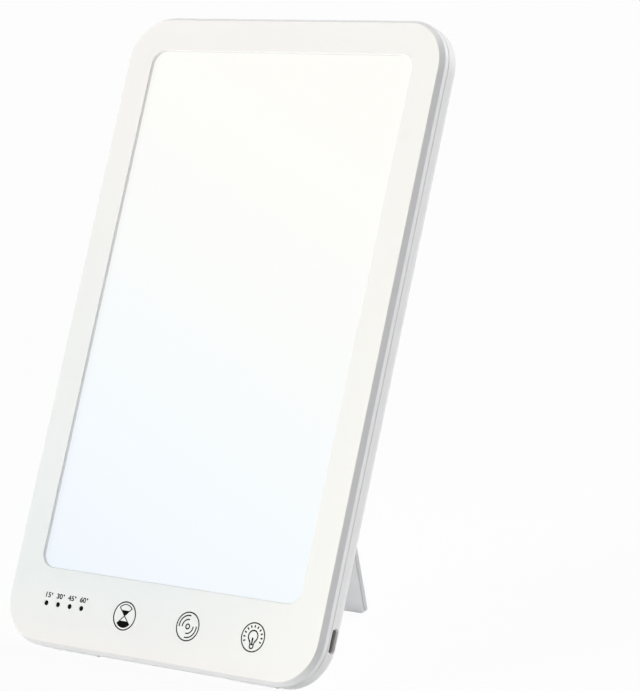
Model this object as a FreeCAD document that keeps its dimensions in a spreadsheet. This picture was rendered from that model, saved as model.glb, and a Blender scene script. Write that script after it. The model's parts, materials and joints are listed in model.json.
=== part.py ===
import FreeCAD, Part

import math
import os

import Sketcher

# A slim light therapy lamp: a portrait slab with a lit window, three touch fields under it, and a
# folding leg at the back that holds it leaning back.
#
# Every piece of the slab is drawn flat: X across, Y up the front from the bottom edge of the case,
# and Z out of the front face, which is at Z = 0, so the back lies at negative Z.  The leg and its
# pins are drawn about their hinge axis.  The Placement of each piece then stands it up.

document = FreeCAD.newDocument("light_therapy_lamp")
sheet = document.addObject("Spreadsheet::Sheet", "sizes")

# Driving dimensions, in millimetres and degrees: alias, value, what it is.
DRIVING_SIZES = [
    ("side_border", 13.1, "window to the sides of the case"),
    ("top_border", 13.3, "window to the top of the case"),
    ("corner_radius", 17.4, "corners of the case, seen from the front"),
    ("bevel_width", 1.4, "bevel round the front face, seen from the front"),
    ("bevel_depth", 2.0, "bevel round the front face, seen from the side"),
    ("seam_depth", 4.1, "front face to the seam between the two shells"),
    ("seam_bevel", 0.3, "bevel on each shell at the seam"),
    ("rear_edge_radius", 3.9, "rounding of the rear edge"),
    ("bezel_thickness", 1.2, "front wall of the bezel"),
    ("bezel_wall", 1.8, "side wall of the bezel"),
    ("lip_thickness", 0.8, "lip of the rear shell inside the bezel"),
    ("lip_height", 1.2, "lip of the rear shell above the seam"),
    ("fit_gap", 0.1, "clearance between pieces that fit in each other"),
    ("back_thickness", 1.6, "rear wall of the rear shell"),
    ("lean_angle", 25.5, "lean of the standing lamp from the vertical"),
    ("window_width", 122.0, "lit window, across"),
    ("window_height", 198.0, "lit window, bottom to top"),
    ("window_bottom", 28.7, "bottom of the case to the window"),
    ("window_radius", 5.5, "corners of the window"),
    ("window_bevel", 0.3, "bevel on the front edge of the window"),
    ("window_overlap", 2.0, "optical sheets beyond the window, all round"),
    ("gasket_thickness", 0.6, "foam gasket behind the bezel"),
    ("gasket_setback", 0.8, "gasket set back from the window's edge"),
    ("diffuser_thickness", 1.2, "opal panel"),
    ("film_thickness", 0.2, "diffusion film"),
    ("guide_thickness", 2.0, "light guide plate"),
    ("reflector_thickness", 0.2, "reflector sheet"),
    ("tray_thickness", 0.6, "sheet metal of the light tray"),
    ("optic_gap", 0.4, "optical sheets to the walls of the tray"),
    ("led_gap", 0.2, "LED face to the edge of the light guide"),
    ("led_depth", 0.7, "LED package, out of its board"),
    ("led_length", 2.8, "LED package, along its board"),
    ("led_height", 1.4, "LED package, across its board"),
    ("led_count", 22, "LEDs on each board, evenly along the window"),
    ("led_board_thickness", 0.5, "LED board"),
    ("led_board_height", 1.9, "LED board, front to back"),
    ("led_tail_height", 0.5, "tail of the LED board, front to back"),
    ("led_tail_length", 1.5, "tail of the LED board past the light tray's end"),
    ("ear_length", 7.0, "screw ear of the light tray, along its side"),
    ("ear_inset", 34.0, "screw ear of the light tray from the window's end"),
    ("board_standoff", 2.6, "front wall of the bezel to the control board"),
    ("board_thickness", 1.0, "control board"),
    ("board_edge_gap", 1.2, "control board to the walls of the case"),
    ("touch_height", 15.3, "bottom of the case to the centres of the touch fields"),
    ("touch_inset", 16.9, "right-hand touch field from the window's side"),
    ("touch_pitch", 30.0, "touch field to touch field"),
    ("touch_radius", 5.0, "touch electrode"),
    ("touch_pad_thickness", 0.3, "touch electrode"),
    ("touch_column_radius", 3.0, "conductive foam column behind a touch electrode"),
    ("dot_height", 15.4, "bottom of the case to the indicator dots"),
    ("dot_inset", 6.6, "left-hand indicator dot from the window's side"),
    ("dot_pitch", 5.77, "dot to dot"),
    ("dot_radius", 0.9, "indicator dot"),
    ("pipe_bar_width", 3.2, "bar that joins the light pipes, bottom to top"),
    ("pipe_bar_thickness", 1.3, "bar that joins the light pipes, front to back"),
    ("indicator_size", 1.6, "indicator LED, across"),
    ("indicator_depth", 0.6, "indicator LED, front to back"),
    ("microcontroller_side", 5.0, "microcontroller"),
    ("microcontroller_height", 0.9, "microcontroller, off the board"),
    ("touch_chip_side", 4.0, "touch controller"),
    ("touch_chip_height", 0.8, "touch controller, off the board"),
    ("inductor_side", 6.6, "power inductor"),
    ("inductor_height", 2.8, "power inductor, off the board"),
    ("driver_length", 4.9, "LED driver"),
    ("driver_width", 3.9, "LED driver"),
    ("driver_height", 1.5, "LED driver, off the board"),
    ("driver_step", 6.0, "LED driver above or below the line of the touch fields"),
    ("driver_gap", 5.6, "LED driver to the board screw on its right"),
    ("capacitor_radius", 2.2, "capacitor"),
    ("capacitor_height", 3.6, "capacitor, off the board"),
    ("capacitor_step", 5.6, "capacitor above or below the line of the touch fields"),
    ("capacitor_gap", 5.1, "capacitor to the wall of the leg's recess"),
    ("connector_width", 3.6, "connector of an LED board, across"),
    ("connector_length", 3.8, "connector of an LED board, bottom to top"),
    ("connector_height", 1.4, "connector of an LED board, off the board"),
    ("usb_height", 18.7, "bottom of the case to the middle of the socket"),
    ("usb_length", 8.94, "socket shell, along the side of the case"),
    ("usb_thickness", 3.16, "socket shell, front to back"),
    ("usb_depth", 7.3, "socket shell, into the case"),
    ("usb_sheet", 0.3, "sheet metal of the socket shell"),
    ("usb_setback", 0.5, "socket shell behind the side of the case"),
    ("tongue_width", 6.7, "contact tongue in the socket"),
    ("tongue_thickness", 0.7, "contact tongue in the socket"),
    ("tongue_setback", 1.0, "contact tongue behind the mouth of the socket"),
    ("screw_boss_radius", 2.7, "screw boss of the case"),
    ("corner_boss_side", 9.6, "bottom case screw from the side of the case"),
    ("corner_boss_bottom", 8.9, "bottom case screw from the bottom of the case"),
    ("top_screw_side", 29.1, "top case screw from the side of the case"),
    ("case_screw_radius", 1.1, "thread of a case screw"),
    ("case_head_radius", 2.0, "head of a case screw"),
    ("case_head_height", 1.4, "head of a case screw"),
    ("case_head_depth", 1.2, "head of a case screw below the back of the case"),
    ("screw_bite", 2.4, "thread of a case screw inside the bezel's boss"),
    ("small_screw_radius", 0.8, "thread of a board or tray screw"),
    ("small_head_radius", 1.6, "head of a board or tray screw"),
    ("small_head_height", 1.0, "head of a board or tray screw"),
    ("small_boss_radius", 2.0, "boss for a board or tray screw"),
    ("small_screw_bite", 1.8, "thread of a board or tray screw inside its boss"),
    ("recess_cross", 0.35, "half width of a cross recess"),
    ("cross_depth", 0.6, "depth of a cross recess"),
    ("back_pad_radius", 5.0, "rubber pad on the back"),
    ("back_pad_sunk", 0.6, "rubber pad sunk into the back"),
    ("back_pad_proud", 0.5, "rubber pad out of the back"),
    ("back_pad_side", 18.0, "rubber pad from the side of the case"),
    ("back_pad_end", 19.0, "rubber pad from the top and bottom of the case"),
    ("strip_length", 22.0, "rubber strip under the rear bottom edge"),
    ("strip_side", 32.1, "middle of a rubber strip from the side of the case"),
    ("strip_sunk", 0.9, "rubber strip sunk into the case"),
    ("strip_proud", 0.4, "rubber strip out of the case"),
    ("strip_arc", 22.0, "half the arc that a rubber strip covers"),
    ("leg_width", 50.0, "folding leg, across"),
    ("leg_thickness", 2.2, "folding leg"),
    ("leg_corner_radius", 2.5, "corners of the leg's foot"),
    ("leg_edge_bevel", 0.3, "bevel along the edges of the leg's two faces"),
    ("open_angle", 34.0, "opened leg to the back of the case"),
    ("hinge_height", 150.4, "bottom of the case to the leg's hinge"),
    ("barrel_radius", 1.7, "barrel of the leg at its hinge"),
    ("flush_gap", 0.1, "folded leg below the back of the case"),
    ("leg_side_gap", 0.4, "leg to the walls of its recess"),
    ("leg_floor_gap", 0.3, "barrel to the floor of the recess"),
    ("stop_gap", 0.03, "heel of the opened leg to the floor of the recess"),
    ("recess_floor", 1.1, "floor of the leg's recess"),
    ("recess_wall", 1.2, "walls of the leg's recess"),
    ("notch_width", 18.0, "finger notch below the folded leg"),
    ("notch_length", 7.0, "finger notch below the folded leg"),
    ("notch_depth", 2.8, "finger notch below the folded leg"),
    ("pin_radius", 0.8, "hinge pin"),
    ("pin_clearance", 0.05, "hinge pin in the rear shell, all round"),
    ("pin_in_leg", 7.0, "hinge pin inside the leg"),
    ("pin_in_case", 2.9, "hinge pin inside the rear shell's boss"),
    ("pin_end_gap", 0.3, "hinge pin to the end of its hole"),
]


class Size:
    """A length or an angle: its value, and the expression on the sheet that it comes from."""

    def __init__(self, text, value):
        self.text = text
        self.value = value

    def __add__(self, other):
        other = as_size(other)
        return Size(f"({self.text} + {other.text})", self.value + other.value)

    def __sub__(self, other):
        other = as_size(other)
        return Size(f"({self.text} - {other.text})", self.value - other.value)

    def __mul__(self, other):
        other = as_size(other)
        return Size(f"({self.text} * {other.text})", self.value * other.value)

    def __truediv__(self, other):
        other = as_size(other)
        return Size(f"({self.text} / {other.text})", self.value / other.value)

    def __radd__(self, other):
        return as_size(other) + self

    def __rsub__(self, other):
        return as_size(other) - self

    def __rmul__(self, other):
        return as_size(other) * self

    def __neg__(self):
        return Size(f"(0 - {self.text})", -self.value)


def as_size(number):
    if isinstance(number, Size):
        return number
    return Size(f"({number})", number)


def sin(angle):
    return Size(f"sin({angle.text})", math.sin(math.radians(angle.value)))


def cos(angle):
    return Size(f"cos({angle.text})", math.cos(math.radians(angle.value)))


def root(area):
    return Size(f"sqrt({area.text})", math.sqrt(area.value))


def fill_sheet():
    """Writes the driving dimensions into the sheet and returns them by alias."""
    found = {}
    for row, (alias, value, note) in enumerate(DRIVING_SIZES, start=1):
        sheet.set(f"A{row}", note)
        sheet.set(f"B{row}", str(value))
        sheet.setAlias(f"B{row}", alias)
        found[alias] = Size(f"sizes.{alias}", value)
    document.recompute()
    return found


size = fill_sheet()

# ---------------------------------------------------------------------------------------------
# Places worked out from the driving dimensions
# ---------------------------------------------------------------------------------------------

half_window = size["window_width"] / 2
window_bottom = size["window_bottom"]
window_top = window_bottom + size["window_height"]
half_case = half_window + size["side_border"]
case_top = window_top + size["top_border"]
fit_gap = size["fit_gap"]

# Layers behind the front face, in order.
bezel_back = -size["bezel_thickness"]
gasket_back = bezel_back - size["gasket_thickness"]
diffuser_back = gasket_back - size["diffuser_thickness"]
film_back = diffuser_back - size["film_thickness"]
guide_back = film_back - size["guide_thickness"]
reflector_back = guide_back - size["reflector_thickness"]
tray_back = reflector_back - size["tray_thickness"]
recess_inside = tray_back - fit_gap
recess_bottom_z = recess_inside - size["recess_floor"]
hinge_z = recess_bottom_z - size["leg_floor_gap"] - size["barrel_radius"]
case_back = hinge_z - size["barrel_radius"] - size["flush_gap"]
back_inside = case_back + size["back_thickness"]
seam = -size["seam_depth"]
lip_top = seam + size["lip_height"]

# Inside of the bezel's wall, and the lip and cavity of the rear shell inside it.
bezel_inset = size["bezel_wall"]
lip_inset = bezel_inset + fit_gap
cavity_inset = lip_inset + size["lip_thickness"]
half_cavity = half_case - cavity_inset

# The optical sheets, which reach a little past the window, and the tray round them.
half_sheet = half_window + size["window_overlap"]
sheet_bottom = window_bottom - size["window_overlap"]
sheet_top = window_top + size["window_overlap"]
half_tray_inside = half_sheet + size["optic_gap"]
tray_inside_bottom = sheet_bottom - size["optic_gap"]
tray_inside_top = sheet_top + size["optic_gap"]
half_tray = half_tray_inside + size["tray_thickness"]
tray_bottom = tray_inside_bottom - size["tray_thickness"]
tray_top = tray_inside_top + size["tray_thickness"]
led_board_face = half_tray_inside - size["led_board_thickness"]
led_face = led_board_face - size["led_depth"]
half_guide = led_face - size["led_gap"]

# Screws: in the middle of the channels between the light tray and the walls of the case.
side_channel = (half_tray + half_cavity) / 2
top_channel = (tray_top + case_top - cavity_inset) / 2
bottom_screw_x = half_case - size["corner_boss_side"]
top_screw_x = half_case - size["top_screw_side"]
middle_screw_y = (window_bottom + window_top) / 2
case_screw_places = [
    (-bottom_screw_x, size["corner_boss_bottom"]),
    (bottom_screw_x, size["corner_boss_bottom"]),
    (-side_channel, middle_screw_y),
    (side_channel, middle_screw_y),
    (-top_screw_x, top_channel),
    (top_screw_x, top_channel),
]
ear_heights = [window_bottom + size["ear_inset"], window_top - size["ear_inset"]]
tray_screw_places = [(side * side_channel, height) for height in ear_heights for side in (-1, 1)]

# The control board behind the bottom of the bezel, and what sits on it.
board_front = bezel_back - size["board_standoff"]
board_back = board_front - size["board_thickness"]
board_top = tray_bottom - size["optic_gap"]
board_bottom = cavity_inset + size["board_edge_gap"]
board_shoulder_x = bottom_screw_x - size["screw_boss_radius"] - size["board_edge_gap"]
board_shoulder_y = size["corner_boss_bottom"] + size["screw_boss_radius"] + size["board_edge_gap"]
board_end_x = half_cavity - size["board_edge_gap"]
last_touch_x = half_window - size["touch_inset"]
touch_places = {
    "timer": (last_touch_x - 2 * size["touch_pitch"], size["touch_height"]),
    "tone": (last_touch_x - size["touch_pitch"], size["touch_height"]),
    "brightness": (last_touch_x, size["touch_height"]),
}
DOT_COUNT = 4
first_dot_x = size["dot_inset"] - half_window
dot_places = [
    (first_dot_x + index * size["dot_pitch"], size["dot_height"]) for index in range(DOT_COUNT)
]
dots_end_x = dot_places[-1][0]
half_touch_pitch = size["touch_pitch"] / 2
left_screw_x = first_dot_x - size["small_boss_radius"] - size["pipe_bar_width"]
middle_screw_x = last_touch_x - half_touch_pitch
right_screw_x = last_touch_x + half_touch_pitch
board_screw_places = [
    (left_screw_x, size["dot_height"]),
    (middle_screw_x - size["touch_pitch"], size["touch_height"]),
    (middle_screw_x, size["touch_height"]),
    (right_screw_x, size["touch_height"]),
]
usb_mouth_x = half_case - size["usb_setback"]
usb_inner_x = usb_mouth_x - size["usb_depth"]
usb_z = board_back - size["usb_thickness"] / 2

# The standing lamp rests on the strips round its rear bottom edge and on the foot of its leg.
lean = size["lean_angle"]
rear_round_y = size["rear_edge_radius"]
rear_round_z = case_back + size["rear_edge_radius"]
strip_outer_radius = size["rear_edge_radius"] + size["strip_proud"]
strip_x = half_case - size["strip_side"]
floor_level = rear_round_y * cos(lean) + rear_round_z * sin(lean) - strip_outer_radius
front_limit = size["bevel_width"] * sin(lean)
back_limit = (case_top - rear_round_y) * sin(lean) - rear_round_z * cos(lean) + rear_round_y
middle_depth = (front_limit + back_limit) / 2

# The leg, about its hinge axis, folded: Y towards the top of the case, Z towards its front.
hinge_y = size["hinge_height"]
hinge_above_floor = hinge_y * cos(lean) + hinge_z * sin(lean) - floor_level
leg_outer_z = -size["barrel_radius"]
leg_inner_z = size["leg_thickness"] - size["barrel_radius"]
leg_tilt = size["open_angle"] - lean
leg_inner_length = (hinge_above_floor - leg_inner_z * sin(leg_tilt)) / cos(leg_tilt)
leg_outer_length = (hinge_above_floor - leg_outer_z * sin(leg_tilt)) / cos(leg_tilt)
floor_above_axis = recess_bottom_z - hinge_z - size["stop_gap"]
heel_length = (floor_above_axis - leg_inner_z * cos(size["open_angle"])) / sin(size["open_angle"])
heel_sweep = root(heel_length * heel_length + leg_outer_z * leg_outer_z)
half_leg = size["leg_width"] / 2

# The recess in the back that the leg folds into.
half_recess = half_leg + size["leg_side_gap"]
recess_top = hinge_y + heel_sweep + size["leg_side_gap"]
recess_bottom = hinge_y - leg_outer_length - size["leg_side_gap"]
half_notch = size["notch_width"] / 2
notch_bottom = recess_bottom - size["notch_length"]
notch_z = case_back + size["notch_depth"]
pin_hole_end = half_recess + size["pin_in_case"] + size["pin_end_gap"]

# ---------------------------------------------------------------------------------------------
# Helpers
# ---------------------------------------------------------------------------------------------

ORIGIN = -1
START, END, CENTRE = range(1, 4)


def bind(item, name, value):
    item.setExpression(name, as_size(value).text)


def new_piece(label, placed):
    """A body that will be one piece of the lamp, stood up by the function given."""
    body = document.addObject("PartDesign::Body", label)
    body.Label = label
    body.AllowCompound = True
    placed(body)
    return body


def place(body, angle, depth, height):
    """Turns a body about X and moves it in Y and Z."""
    body.Placement = FreeCAD.Placement(
        FreeCAD.Vector(0, depth.value, height.value),
        FreeCAD.Rotation(FreeCAD.Vector(1, 0, 0), angle.value),
    )
    bind(body, "Placement.Rotation.Angle", angle)
    bind(body, "Placement.Base.y", depth)
    bind(body, "Placement.Base.z", height)


def in_the_slab(body):
    """Leans a piece of the slab back and puts it over the middle of the standing lamp."""
    place(body, 90 - lean, -middle_depth, -floor_level)


def on_the_leg(body):
    """Hangs a piece of the leg on the hinge axis, opened against its stop."""
    depth = hinge_y * sin(lean) - hinge_z * cos(lean) - middle_depth
    place(body, 90 - lean + size["open_angle"], depth, hinge_above_floor)


def sketch_on(body, role, offset):
    """A sketch on one of the body's own origin planes, moved out along the plane's normal."""
    sketch = body.newObject("Sketcher::SketchObject", f"{body.Label}_sketch")
    plane = next(item for item in body.Origin.OriginFeatures if item.Role == role)
    sketch.AttachmentSupport = (plane, [""])
    sketch.MapMode = "FlatFace"
    bind(sketch, "AttachmentOffset.Base.z", offset)
    return sketch


def constrain(sketch, kind, *where, value=None):
    """Adds a constraint, and binds its value to the sheet if it has one."""
    if value is None:
        sketch.addConstraint(Sketcher.Constraint(kind, *where))
        return
    value = as_size(value)
    index = sketch.addConstraint(Sketcher.Constraint(kind, *where, value.value))
    sketch.setExpression(f"Constraints[{index}]", value.text)


def fix_point(sketch, line, point, x, y):
    constrain(sketch, "DistanceX", ORIGIN, START, line, point, value=x)
    constrain(sketch, "DistanceY", ORIGIN, START, line, point, value=y)


def vector(x, y):
    return FreeCAD.Vector(as_size(x).value, as_size(y).value, 0)


def polygon(points):
    """Draws a closed outline of straight lines, each corner fixed by its two coordinates."""

    def draw(sketch):
        corners = [vector(x, y) for x, y in points]
        lines = [
            sketch.addGeometry(Part.LineSegment(corner, corners[(index + 1) % len(corners)]))
            for index, corner in enumerate(corners)
        ]
        for index, line in enumerate(lines):
            constrain(sketch, "Coincident", lines[index - 1], END, line, START)
            fix_point(sketch, line, START, *points[index])

    return draw


def rectangle(x_low, x_high, y_low, y_high):
    return polygon([(x_low, y_low), (x_high, y_low), (x_high, y_high), (x_low, y_high)])


def rounded_rectangle(x_low, x_high, y_low, y_high, radius):
    """Draws a rectangle with rounded corners: four sides, with a tangent arc after each."""

    def draw(sketch):
        r = as_size(radius).value
        left, right = as_size(x_low).value, as_size(x_high).value
        bottom, top = as_size(y_low).value, as_size(y_high).value
        sides = [
            ((left + r, bottom), (right - r, bottom)),
            ((right, bottom + r), (right, top - r)),
            ((right - r, top), (left + r, top)),
            ((left, top - r), (left, bottom + r)),
        ]
        centres = [(right - r, bottom + r), (right - r, top - r), (left + r, top - r), (left + r, bottom + r)]
        lines, arcs = [], []
        for index, (start, end) in enumerate(sides):
            lines.append(sketch.addGeometry(Part.LineSegment(vector(*start), vector(*end))))
            circle = Part.Circle(vector(*centres[index]), FreeCAD.Vector(0, 0, 1), r)
            turn = (index - 1) * math.pi / 2
            arcs.append(sketch.addGeometry(Part.ArcOfCircle(circle, turn, turn + math.pi / 2)))
        for index, line in enumerate(lines):
            constrain(sketch, "Tangent", line, END, arcs[index], START)
            constrain(sketch, "Tangent", arcs[index - 1], END, line, START)
            constrain(sketch, "Horizontal" if index % 2 == 0 else "Vertical", line)
        for arc in arcs[1:]:
            constrain(sketch, "Equal", arcs[0], arc)
        constrain(sketch, "Radius", arcs[0], value=radius)
        constrain(sketch, "DistanceY", ORIGIN, START, lines[0], START, value=y_low)
        constrain(sketch, "DistanceX", ORIGIN, START, lines[1], START, value=x_high)
        constrain(sketch, "DistanceY", ORIGIN, START, lines[2], START, value=y_high)
        constrain(sketch, "DistanceX", ORIGIN, START, lines[3], START, value=x_low)

    return draw


def circles(places, radius):
    """Draws one circle at each place."""

    def draw(sketch):
        for x, y in places:
            ring = Part.Circle(vector(x, y), FreeCAD.Vector(0, 0, 1), as_size(radius).value)
            index = sketch.addGeometry(ring)
            fix_point(sketch, index, CENTRE, x, y)
            constrain(sketch, "Radius", index, value=radius)

    return draw


def rectangles(places, width, height):
    """Draws one rectangle about each place."""

    def draw(sketch):
        for x, y in places:
            rectangle(x - width / 2, x + width / 2, y - height / 2, y + height / 2)(sketch)

    return draw


def crosses(places, reach, half_width):
    """Draws one plus sign about each place, for cross recesses."""

    def draw(sketch):
        for x, y in places:
            near = [(-1, -1), (1, -1), (1, 1), (-1, 1)]
            points = []
            for side_x, side_y in near:
                inner = (x + side_x * half_width, y + side_y * half_width)
                along_x = (x + side_x * reach, y + side_y * half_width)
                along_y = (x + side_x * half_width, y + side_y * reach)
                ordered = (along_x, inner, along_y) if side_x == side_y else (along_y, inner, along_x)
                points.extend(ordered)
            polygon(points)(sketch)

    return draw


def ring_sector(centre, inner_radius, outer_radius, middle_angle, half_angle):
    """Draws part of a ring about a centre, either side of a direction from it, in degrees."""

    def corner(radius, angle):
        return centre[0] + radius * cos(angle), centre[1] + radius * sin(angle)

    def draw(sketch):
        first, last = middle_angle - half_angle, middle_angle + half_angle
        arcs = []
        for radius in (inner_radius, outer_radius):
            circle = Part.Circle(vector(*centre), FreeCAD.Vector(0, 0, 1), radius.value)
            start, end = math.radians(first.value), math.radians(last.value)
            arc = sketch.addGeometry(Part.ArcOfCircle(circle, start, end))
            arcs.append(arc)
            fix_point(sketch, arc, CENTRE, *centre)
            constrain(sketch, "Radius", arc, value=radius)
        for angle, point in ((first, START), (last, END)):
            inner_end, outer_end = corner(inner_radius, angle), corner(outer_radius, angle)
            line = sketch.addGeometry(Part.LineSegment(vector(*inner_end), vector(*outer_end)))
            constrain(sketch, "Coincident", line, START, arcs[0], point)
            constrain(sketch, "Coincident", line, END, arcs[1], point)
            constrain(sketch, "DistanceX", ORIGIN, START, line, START, value=inner_end[0])
            constrain(sketch, "DistanceX", ORIGIN, START, line, END, value=outer_end[0])

    return draw


PLANES = {"Z": "XY_Plane", "X": "YZ_Plane"}

# Corner radius of a slot with rounded ends, as a share of its width: just short of a half.
OBROUND = 0.48


def add(body, outline, low, high, along="Z"):
    """Adds the outline's prism between two heights along an axis."""
    sketch = sketch_on(body, PLANES[along], low)
    outline(sketch)
    pad = body.newObject("PartDesign::Pad", f"{body.Label}_pad")
    pad.Profile = sketch
    bind(pad, "Length", high - low)
    document.recompute()
    return pad


def cut(body, outline, low, high, along="Z"):
    """Cuts the outline's prism between two heights along an axis, and makes sure that it cut."""
    before = body.Shape.Volume
    sketch = sketch_on(body, PLANES[along], high)
    outline(sketch)
    pocket = body.newObject("PartDesign::Pocket", f"{body.Label}_pocket")
    pocket.Profile = sketch
    bind(pocket, "Length", high - low)
    document.recompute()
    if not body.Shape.Volume < before:
        raise RuntimeError(f"{body.Label}: a cut took nothing away")
    return pocket


def edges_where(shape, test):
    return [f"Edge{index}" for index, edge in enumerate(shape.Edges, start=1) if test(edge)]


def lies_at(edge, axis, place):
    """True for an edge that lies in the plane across an axis at the place given."""
    box = edge.BoundBox
    low, high = getattr(box, f"{axis}Min"), getattr(box, f"{axis}Max")
    return abs(low - place.value) < TOUCH and abs(high - place.value) < TOUCH


TOUCH = 1e-4


def round_edges(body, test, radius):
    """Fillets the edges of the body's last feature that pass the test."""
    last = body.Tip
    fillet = body.newObject("PartDesign::Fillet", f"{body.Label}_fillet")
    fillet.Base = (last, edges_where(last.Shape, test))
    bind(fillet, "Radius", radius)
    document.recompute()


def bevel_edges(body, test, along_face, down_side):
    """Bevels the edges of the body's last feature that pass the test, by two distances.

    The chamfer's first distance lies on the side, and its second on the face.
    """
    last = body.Tip
    chamfer = body.newObject("PartDesign::Chamfer", f"{body.Label}_chamfer")
    chamfer.Base = (last, edges_where(last.Shape, test))
    chamfer.ChamferType = "Two distances"
    bind(chamfer, "Size", down_side)
    bind(chamfer, "Size2", along_face)
    document.recompute()
    return chamfer


def case_outline(inset):
    """The outline of the case, moved in on all sides."""
    return rounded_rectangle(
        inset - half_case, half_case - inset, as_size(inset), case_top - inset,
        size["corner_radius"] - inset,
    )


def sheet_outline(half_width, margin):
    """The outline of an optical sheet: its half width, and how far it reaches past the window."""
    return rectangle(-half_width, half_width, window_bottom - margin, window_top + margin)


# ---------------------------------------------------------------------------------------------
# Case
# ---------------------------------------------------------------------------------------------


def lies_round_window(edge):
    """True for an edge of the window in the front face."""
    box = edge.BoundBox
    return (
        lies_at(edge, "Z", as_size(0))
        and max(-box.XMin, box.XMax) < half_window.value + TOUCH
        and window_bottom.value - TOUCH < box.YMin
        and box.YMax < window_top.value + TOUCH
    )


def make_front_bezel():
    """The front shell: a flat face with a bevel round it, a window, and bosses behind."""
    body = new_piece("front_bezel", in_the_slab)
    add(body, case_outline(0), seam, as_size(0))
    bevel_edges(body, lambda edge: lies_at(edge, "Z", as_size(0)), size["bevel_width"], size["bevel_depth"])
    bevel_edges(body, lambda edge: lies_at(edge, "Z", seam), size["seam_bevel"], size["seam_bevel"])
    cut(body, case_outline(bezel_inset), seam, bezel_back)
    window = rounded_rectangle(-half_window, half_window, window_bottom, window_top, size["window_radius"])
    cut(body, window, bezel_back, as_size(0))
    bevel_edges(body, lies_round_window, size["window_bevel"], size["window_bevel"])
    boss_radius = size["screw_boss_radius"]
    add(body, circles(case_screw_places, boss_radius), seam, bezel_back)
    add(body, circles(tray_screw_places, size["small_boss_radius"]), reflector_back, bezel_back)
    add(body, circles(board_screw_places, size["small_boss_radius"]), board_front, bezel_back)
    case_pilot = size["case_screw_radius"] + fit_gap / 2
    small_pilot = size["small_screw_radius"] + fit_gap / 2
    cut(body, circles(case_screw_places, case_pilot), seam, seam + size["screw_bite"] + fit_gap)
    small_bite = size["small_screw_bite"] + fit_gap
    cut(body, circles(tray_screw_places, small_pilot), reflector_back, reflector_back + small_bite)
    cut(body, circles(board_screw_places, small_pilot), board_front, board_front + small_bite)
    cut(body, circles(dot_places, size["dot_radius"] + fit_gap / 2), bezel_back, as_size(0))
    return body


def make_rear_shell():
    """The rear shell: walls and back in one piece, with the recess that the leg folds into."""
    body = new_piece("rear_shell", in_the_slab)
    add(body, case_outline(0), case_back, seam)
    round_edges(body, lambda edge: lies_at(edge, "Z", case_back), size["rear_edge_radius"])
    bevel_edges(body, lambda edge: lies_at(edge, "Z", seam), size["seam_bevel"], size["seam_bevel"])
    add(body, case_outline(lip_inset), seam, lip_top)
    cut(body, case_outline(cavity_inset), back_inside, lip_top)
    add(body, circles(case_screw_places, size["screw_boss_radius"]), back_inside, seam)
    block = size["recess_wall"]
    recess_block = rectangle(
        -half_recess - block, half_recess + block, recess_bottom - block, recess_top + block
    )
    add(body, recess_block, back_inside, recess_inside)
    notch_block = rectangle(-half_notch - block, half_notch + block, notch_bottom - block, recess_bottom)
    add(body, notch_block, back_inside, notch_z + block)
    boss_reach = pin_hole_end + block
    boss_half_height = size["pin_radius"] + 2 * block
    hinge_boss = rectangle(
        -boss_reach, boss_reach, hinge_y - boss_half_height, hinge_y + boss_half_height
    )
    add(body, hinge_boss, back_inside, hinge_z + size["pin_radius"] + block)
    recess = rounded_rectangle(
        -half_recess, half_recess, recess_bottom, recess_top, size["leg_corner_radius"]
    )
    cut(body, recess, case_back, recess_bottom_z)
    square_end = rectangle(-half_recess, half_recess, hinge_y, recess_top)
    cut(body, square_end, case_back, recess_bottom_z)
    notch = rounded_rectangle(
        -half_notch, half_notch, notch_bottom, recess_bottom + size["leg_corner_radius"] * 2,
        size["leg_corner_radius"],
    )
    cut(body, notch, case_back, notch_z)
    pin_hole = circles([(hinge_y, hinge_z)], size["pin_radius"] + size["pin_clearance"])
    cut(body, pin_hole, -pin_hole_end, pin_hole_end, along="X")
    head_z = case_back + size["case_head_depth"] + size["case_head_height"]
    cut(body, circles(case_screw_places, size["case_screw_radius"] + fit_gap), case_back, seam)
    cut(body, circles(case_screw_places, size["case_head_radius"] + fit_gap), case_back, head_z)
    pad_radius = size["back_pad_radius"] + fit_gap / 2
    cut(body, circles(back_pad_places.values(), pad_radius), case_back, case_back + size["back_pad_sunk"])
    slot_length, slot_thickness = size["usb_length"] + 2 * fit_gap, size["usb_thickness"] + 2 * fit_gap
    usb_slot = rounded_rectangle(
        size["usb_height"] - slot_length / 2, size["usb_height"] + slot_length / 2,
        usb_z - slot_thickness / 2, usb_z + slot_thickness / 2, slot_thickness * OBROUND,
    )
    cut(body, usb_slot, usb_inner_x, half_case + fit_gap, along="X")
    groove = strip_outline(size["strip_sunk"] + fit_gap / 2, STRIP_END_GAP)
    half_strip = size["strip_length"] / 2
    for side in (-1, 1):
        middle = side * strip_x
        cut(body, groove, middle - half_strip - fit_gap, middle + half_strip + fit_gap, along="X")
    return body


STRIP_END_GAP = 1.0  # degrees between a rubber strip and each end of its groove


def strip_outline(sunk, end_gap):
    """The section of a rubber strip round the rear bottom edge, straight under the rounding."""
    return ring_sector(
        (rear_round_y, rear_round_z), size["rear_edge_radius"] - sunk, strip_outer_radius,
        180 + lean, size["strip_arc"] + end_gap,
    )


def make_floor_strips():
    """The two rubber strips that the standing lamp rests on."""
    half_strip = size["strip_length"] / 2
    for name, side in (("left", -1), ("right", 1)):
        body = new_piece(f"floor_strip_{name}", in_the_slab)
        middle = side * strip_x
        outline = strip_outline(size["strip_sunk"], 0)
        add(body, outline, middle - half_strip, middle + half_strip, along="X")


back_pad_x = half_case - size["back_pad_side"]
back_pad_top = case_top - size["back_pad_end"]
back_pad_places = {
    "bottom_left": (-back_pad_x, size["back_pad_end"]),
    "bottom_right": (back_pad_x, size["back_pad_end"]),
    "top_left": (-back_pad_x, back_pad_top),
    "top_right": (back_pad_x, back_pad_top),
}


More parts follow.
